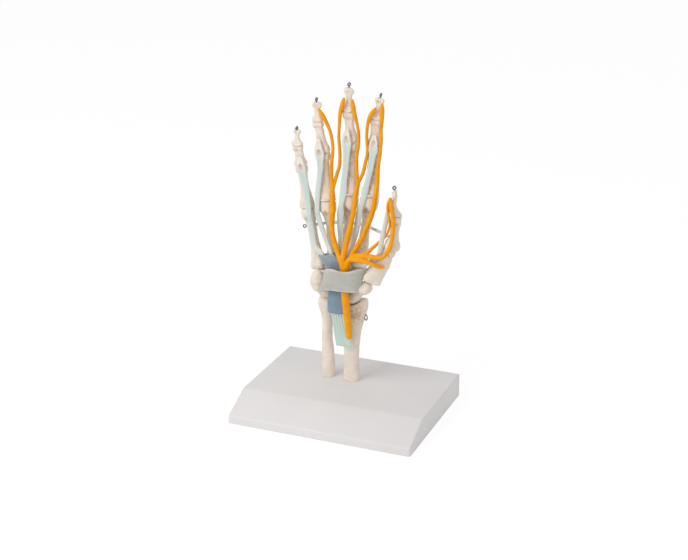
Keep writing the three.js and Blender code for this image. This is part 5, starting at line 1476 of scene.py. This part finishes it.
THUMB_SECOND = [
    thick(25, -5.8, 164.4, FINGER_NERVE), thick(27, -4.6, 166.6, FINGER_NERVE), thick(31.4, -4, 171, 3),
    thick(35, -3.6, 174.8, 2.8), thick(38.8, -3.4, 178.6, 2.4), by("thumb", 1, 0.56, -5.4, 6.4, 2.3),
    by("thumb", 1, 0.77, -3.4, 7, 2.3), by("thumb", 2, 0, -4.3, 7, 2.3), by("thumb", 2, 0.18, -4.8, 7, 2.5),
    by("thumb", 2, 0.38, -5.2, 6.4, 2.7), by("thumb", 2, 0.59, -4.1, 6.4, 2.8), by("thumb", 2, 0.74, -2.4, 6, 2.4),
]


def make_finger_nerve(name, ray, stops, fork):
    """A finger nerve in three lengths, each reaching over one joint."""
    first, second, third = DIGITS[ray][1:]
    line = smooth_route(stops, 0.8)
    cuts = [0]
    for bone, share in ((first, 0.58), (second, 0.5)):
        place = (line[:, :3] - bone.start) @ bone.axis / bone.length
        cuts.append(int(np.argmax(place > share)))
    cuts.append(len(line) - 1)
    spans = [("stand", first.body, fork, first.beside(0.5, 0, 0), "root"),
             (first.body, second.body, first.hinge - first.axis * 5, first.hinge + first.axis * 6, "middle"),
             (second.body, third.body, second.hinge - second.axis * 4, second.hinge + second.axis * 4.5, "tip")]
    for (a, b, start, end, part), low, high in zip(spans, cuts, cuts[1:]):
        rings = sweep_rings(line[low:high + 1], NERVE_SIDES, ends=(part == "root", part == "tip"))
        obj = piece(f"nerve_{name}_{part}", *loft(rings), NERVE, "nerve", None, ["median_nerve"])
        crease(obj)
        tuple(start * MM)
        tuple(end * MM)
        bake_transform(obj)


make_palm_nerve()
knuckle = DIGITS["index"][0]
make_finger_nerve("index_thumb_side", "index", INDEX_SIDE, knuckle.hinge - knuckle.axis * 10)
make_finger_nerve("ring_thumb_side", "ring", RING_THUMB_SIDE, DIGITS["ring"][1].beside(0.2, 0, 0))
make_finger_nerve("middle_little_side", "middle", MIDDLE_LITTLE_SIDE, DIGITS["middle"][1].beside(0.26, 0, 0))
make_finger_nerve("middle_thumb_side", "middle", MIDDLE_THUMB_SIDE, DIGITS["middle"][1].beside(0.24, 0, 0))
make_finger_nerve("index_little_side", "index", INDEX_LITTLE_SIDE, DIGITS["index"][1].beside(0.24, 0, 0))
across_thumb_joint(nerve_piece("nerve_thumb_main", THUMB_MAIN))
across_thumb_joint(nerve_piece("nerve_thumb_second", THUMB_SECOND))


# ---------------------------------------------------------------- base
def box_shape(low, high):
    (x0, y0, z0), (x1, y1, z1) = low, high
    points = np.array([(x, y, z) for z in (z0, z1) for x, y in ((x0, y0), (x1, y0), (x1, y1), (x0, y1))], float)
    return points, [[3, 2, 1, 0], [4, 5, 6, 7], [0, 1, 5, 4], [1, 2, 6, 5], [2, 3, 7, 6], [3, 0, 4, 7]]


def prism(rings):
    """Solid between two equal outlines."""
    count = len(rings[0])
    points = np.array([*rings[0], *rings[1]], float)
    faces = [list(range(count)), list(range(2 * count - 1, count - 1, -1))]
    faces += [[(i + 1) % count, i, i + count, (i + 1) % count + count] for i in range(count)]
    return points, faces


def base_outline(inset):
    """Side outline of the base from its front foot to its back foot, as y and z."""
    slope = (BASE_HEIGHT - LIP_HEIGHT) / SLOPE_RUN
    front, back, top = -BASE_DEPTH / 2 + inset, BASE_DEPTH / 2 - inset, BASE_HEIGHT - inset
    return [(front, 0), (front, LIP_HEIGHT - inset * math.hypot(1, slope) + slope * inset),
            (-BASE_DEPTH / 2 + SLOPE_RUN, top), (back, top), (back, 0)]


def outer_shell():
    """Moulded top with rounded edges, open underneath."""
    outline = base_outline(0)
    count = len(outline)
    points = [(x, y, z) for x in (-BASE_WIDTH / 2, BASE_WIDTH / 2) for y, z in outline]
    faces = [list(range(count)), list(range(2 * count - 1, count - 1, -1))]
    faces += [[i, i + count, i + 1 + count, i + 1] for i in range(count - 1)]
    mesh = bpy.data.meshes.new("shell")
    mesh.from_pydata(points, [], faces)
    obj = in_scene("shell", mesh)
    work = bmesh.new()
    work.from_mesh(mesh)
    bmesh.ops.recalc_face_normals(work, faces=work.faces)
    top = max(work.faces, key=lambda f: f.calc_center_median().z)
    if top.normal.z < 0:
        bmesh.ops.reverse_faces(work, faces=work.faces)
    work.to_mesh(mesh)
    work.free()
    for kind, settings in (
        ("BEVEL", {"width": BASE_EDGE, "segments": 4, "limit_method": "ANGLE", "angle_limit": math.radians(15)}),
        ("SOLIDIFY", {"thickness": BASE_WALL, "offset": -1, "use_even_offset": True}),
    ):
        modifier = obj.modifiers.new(kind.lower(), kind)
        for key, value in settings.items():
            setattr(modifier, key, value)
    done = obj.evaluated_get(bpy.context.evaluated_depsgraph_get())
    made = done.to_mesh()
    shape = np.array([v.co for v in made.vertices]), [list(p.vertices) for p in made.polygons]
    done.to_mesh_clear()
    bpy.data.objects.remove(obj)
    bpy.data.meshes.remove(mesh)
    return shape


def rib_shapes():
    """Ribs under the top, along and across, cut to the slope."""
    shapes = []
    inner = base_outline(BASE_WALL - 0.4)
    low, high = inner[0][0], inner[-1][0]
    half_width = BASE_WIDTH / 2 - BASE_WALL
    for i in range(1, RIB_COLUMNS):
        x = -half_width + 2 * half_width * i / RIB_COLUMNS
        rings = [[(x + side * RIB / 2, y, z) for y, z in inner] for side in (1, -1)]
        shapes.append(prism(rings))
    half_depth = BASE_DEPTH / 2 - BASE_WALL
    for i in range(1, RIB_ROWS):
        y = -half_depth + 2 * half_depth * i / RIB_ROWS
        top = float(np.interp(y, [low, inner[2][0], high], [inner[1][1], inner[2][1], inner[2][1]]))
        shapes.append(box_shape((-half_width - 0.4, y - RIB / 2, 0), (half_width + 0.4, y + RIB / 2, top)))
    return shapes


def tower_shape(foot):
    """Screw tower with its access hole and the hole through its boss."""
    outer, inner, hole = SCREW_HEAD / 2 + 1 + TOWER_WALL, SCREW_HEAD / 2 + 1, SCREW_SHANK / 2 + SCREW_CLEARANCE
    boss = BASE_HEIGHT - BASE_WALL - BOSS_HEIGHT
    top = BASE_HEIGHT - 0.6
    profile = [(outer, TOWER_SINK), (outer, top), (hole, top), (hole, boss), (inner, boss), (inner, TOWER_SINK)]
    return closed_tube(lathe(profile) + (*foot, 0))


def make_base():
    shapes = [outer_shell(), *rib_shapes(), tower_shape(RADIUS_FOOT), tower_shape(ULNA_FOOT)]
    crease(piece("base_moulding", *joined(shapes), BASE, "base", "stand", ["base"]), 34)


make_base()


# ---------------------------------------------------------------- floor, backdrop and lamps
FLOOR_HALF = 3  # metres
FLOOR_TONE, FLOOR_OWN_WHITE, FLOOR_WHITE_STRENGTH = 0.9, 0.8, 1.08
SKY = 0.62
LAMP_TARGET = (0, 0, 0.15)  # metres


def seen_share(nodes):
    """1 for what the camera sees directly, in a reflection or through clear plastic."""
    camera, glossy, through = (nodes.node("ShaderNodeLightPath", {}, {}, f"Is {ray} Ray")
                               for ray in ("Camera", "Glossy", "Transmission"))
    return ((camera + glossy).held() + through).held()


def make_floor():
    """Paper floor that takes a soft shadow and is otherwise nearly as white as the backdrop."""
    mesh = bpy.data.meshes.new("floor")
    corners = [(x * FLOOR_HALF, y * FLOOR_HALF, 0) for x, y in ((-1, -1), (1, -1), (1, 1), (-1, 1))]
    mesh.from_pydata(corners, [], [[0, 1, 2, 3]])
    floor = in_scene("floor", mesh)
    paper = bpy.data.materials.new("white_floor")
    nodes = Nodes(paper)
    nodes.tree.nodes.remove(nodes.tree.nodes["Principled BSDF"])
    lit = nodes.node("ShaderNodeBsdfDiffuse", {}, {"Color": rgb(FLOOR_TONE, FLOOR_TONE, FLOOR_TONE)})
    white = nodes.node("ShaderNodeEmission", {}, {"Strength": FLOOR_WHITE_STRENGTH})
    blend = nodes.node("ShaderNodeMixShader", {}, {0: seen_share(nodes) * FLOOR_OWN_WHITE, 1: lit, 2: white})
    nodes.feed(nodes.tree.nodes["Material Output"], {"Surface": blend})
    mesh.materials.append(paper)


def make_world():
    """White backdrop that lights the part more weakly than it looks."""
    world = bpy.data.worlds.new("studio")
    scene.world = world
    nodes = Nodes(world)
    nodes.feed(nodes.tree.nodes["Background"], {"Color": rgb(1, 1, 1), "Strength": seen_share(nodes) * (1 - SKY) + SKY})


def lamp(name, place, size, power):
    """A soft lamp, with its place and size in metres."""
    data = bpy.data.lights.new(name, "AREA")
    data.shape, data.size, data.size_y, data.energy = "RECTANGLE", *size, power
    back = unit(np.subtract(place, LAMP_TARGET))
    right = unit(np.cross((0, 0, 1), back))
    in_scene(name, data).matrix_world = stance(right, np.cross(back, right), back, place)


make_floor()
make_world()
lamp("key", (-0.75, -1.15, 1.15), (1.1, 1.1), 12.5)
lamp("fill", (1.5, -0.7, 0.7), (0.9, 0.9), 2.2)

scene.view_settings.view_transform = "Standard"
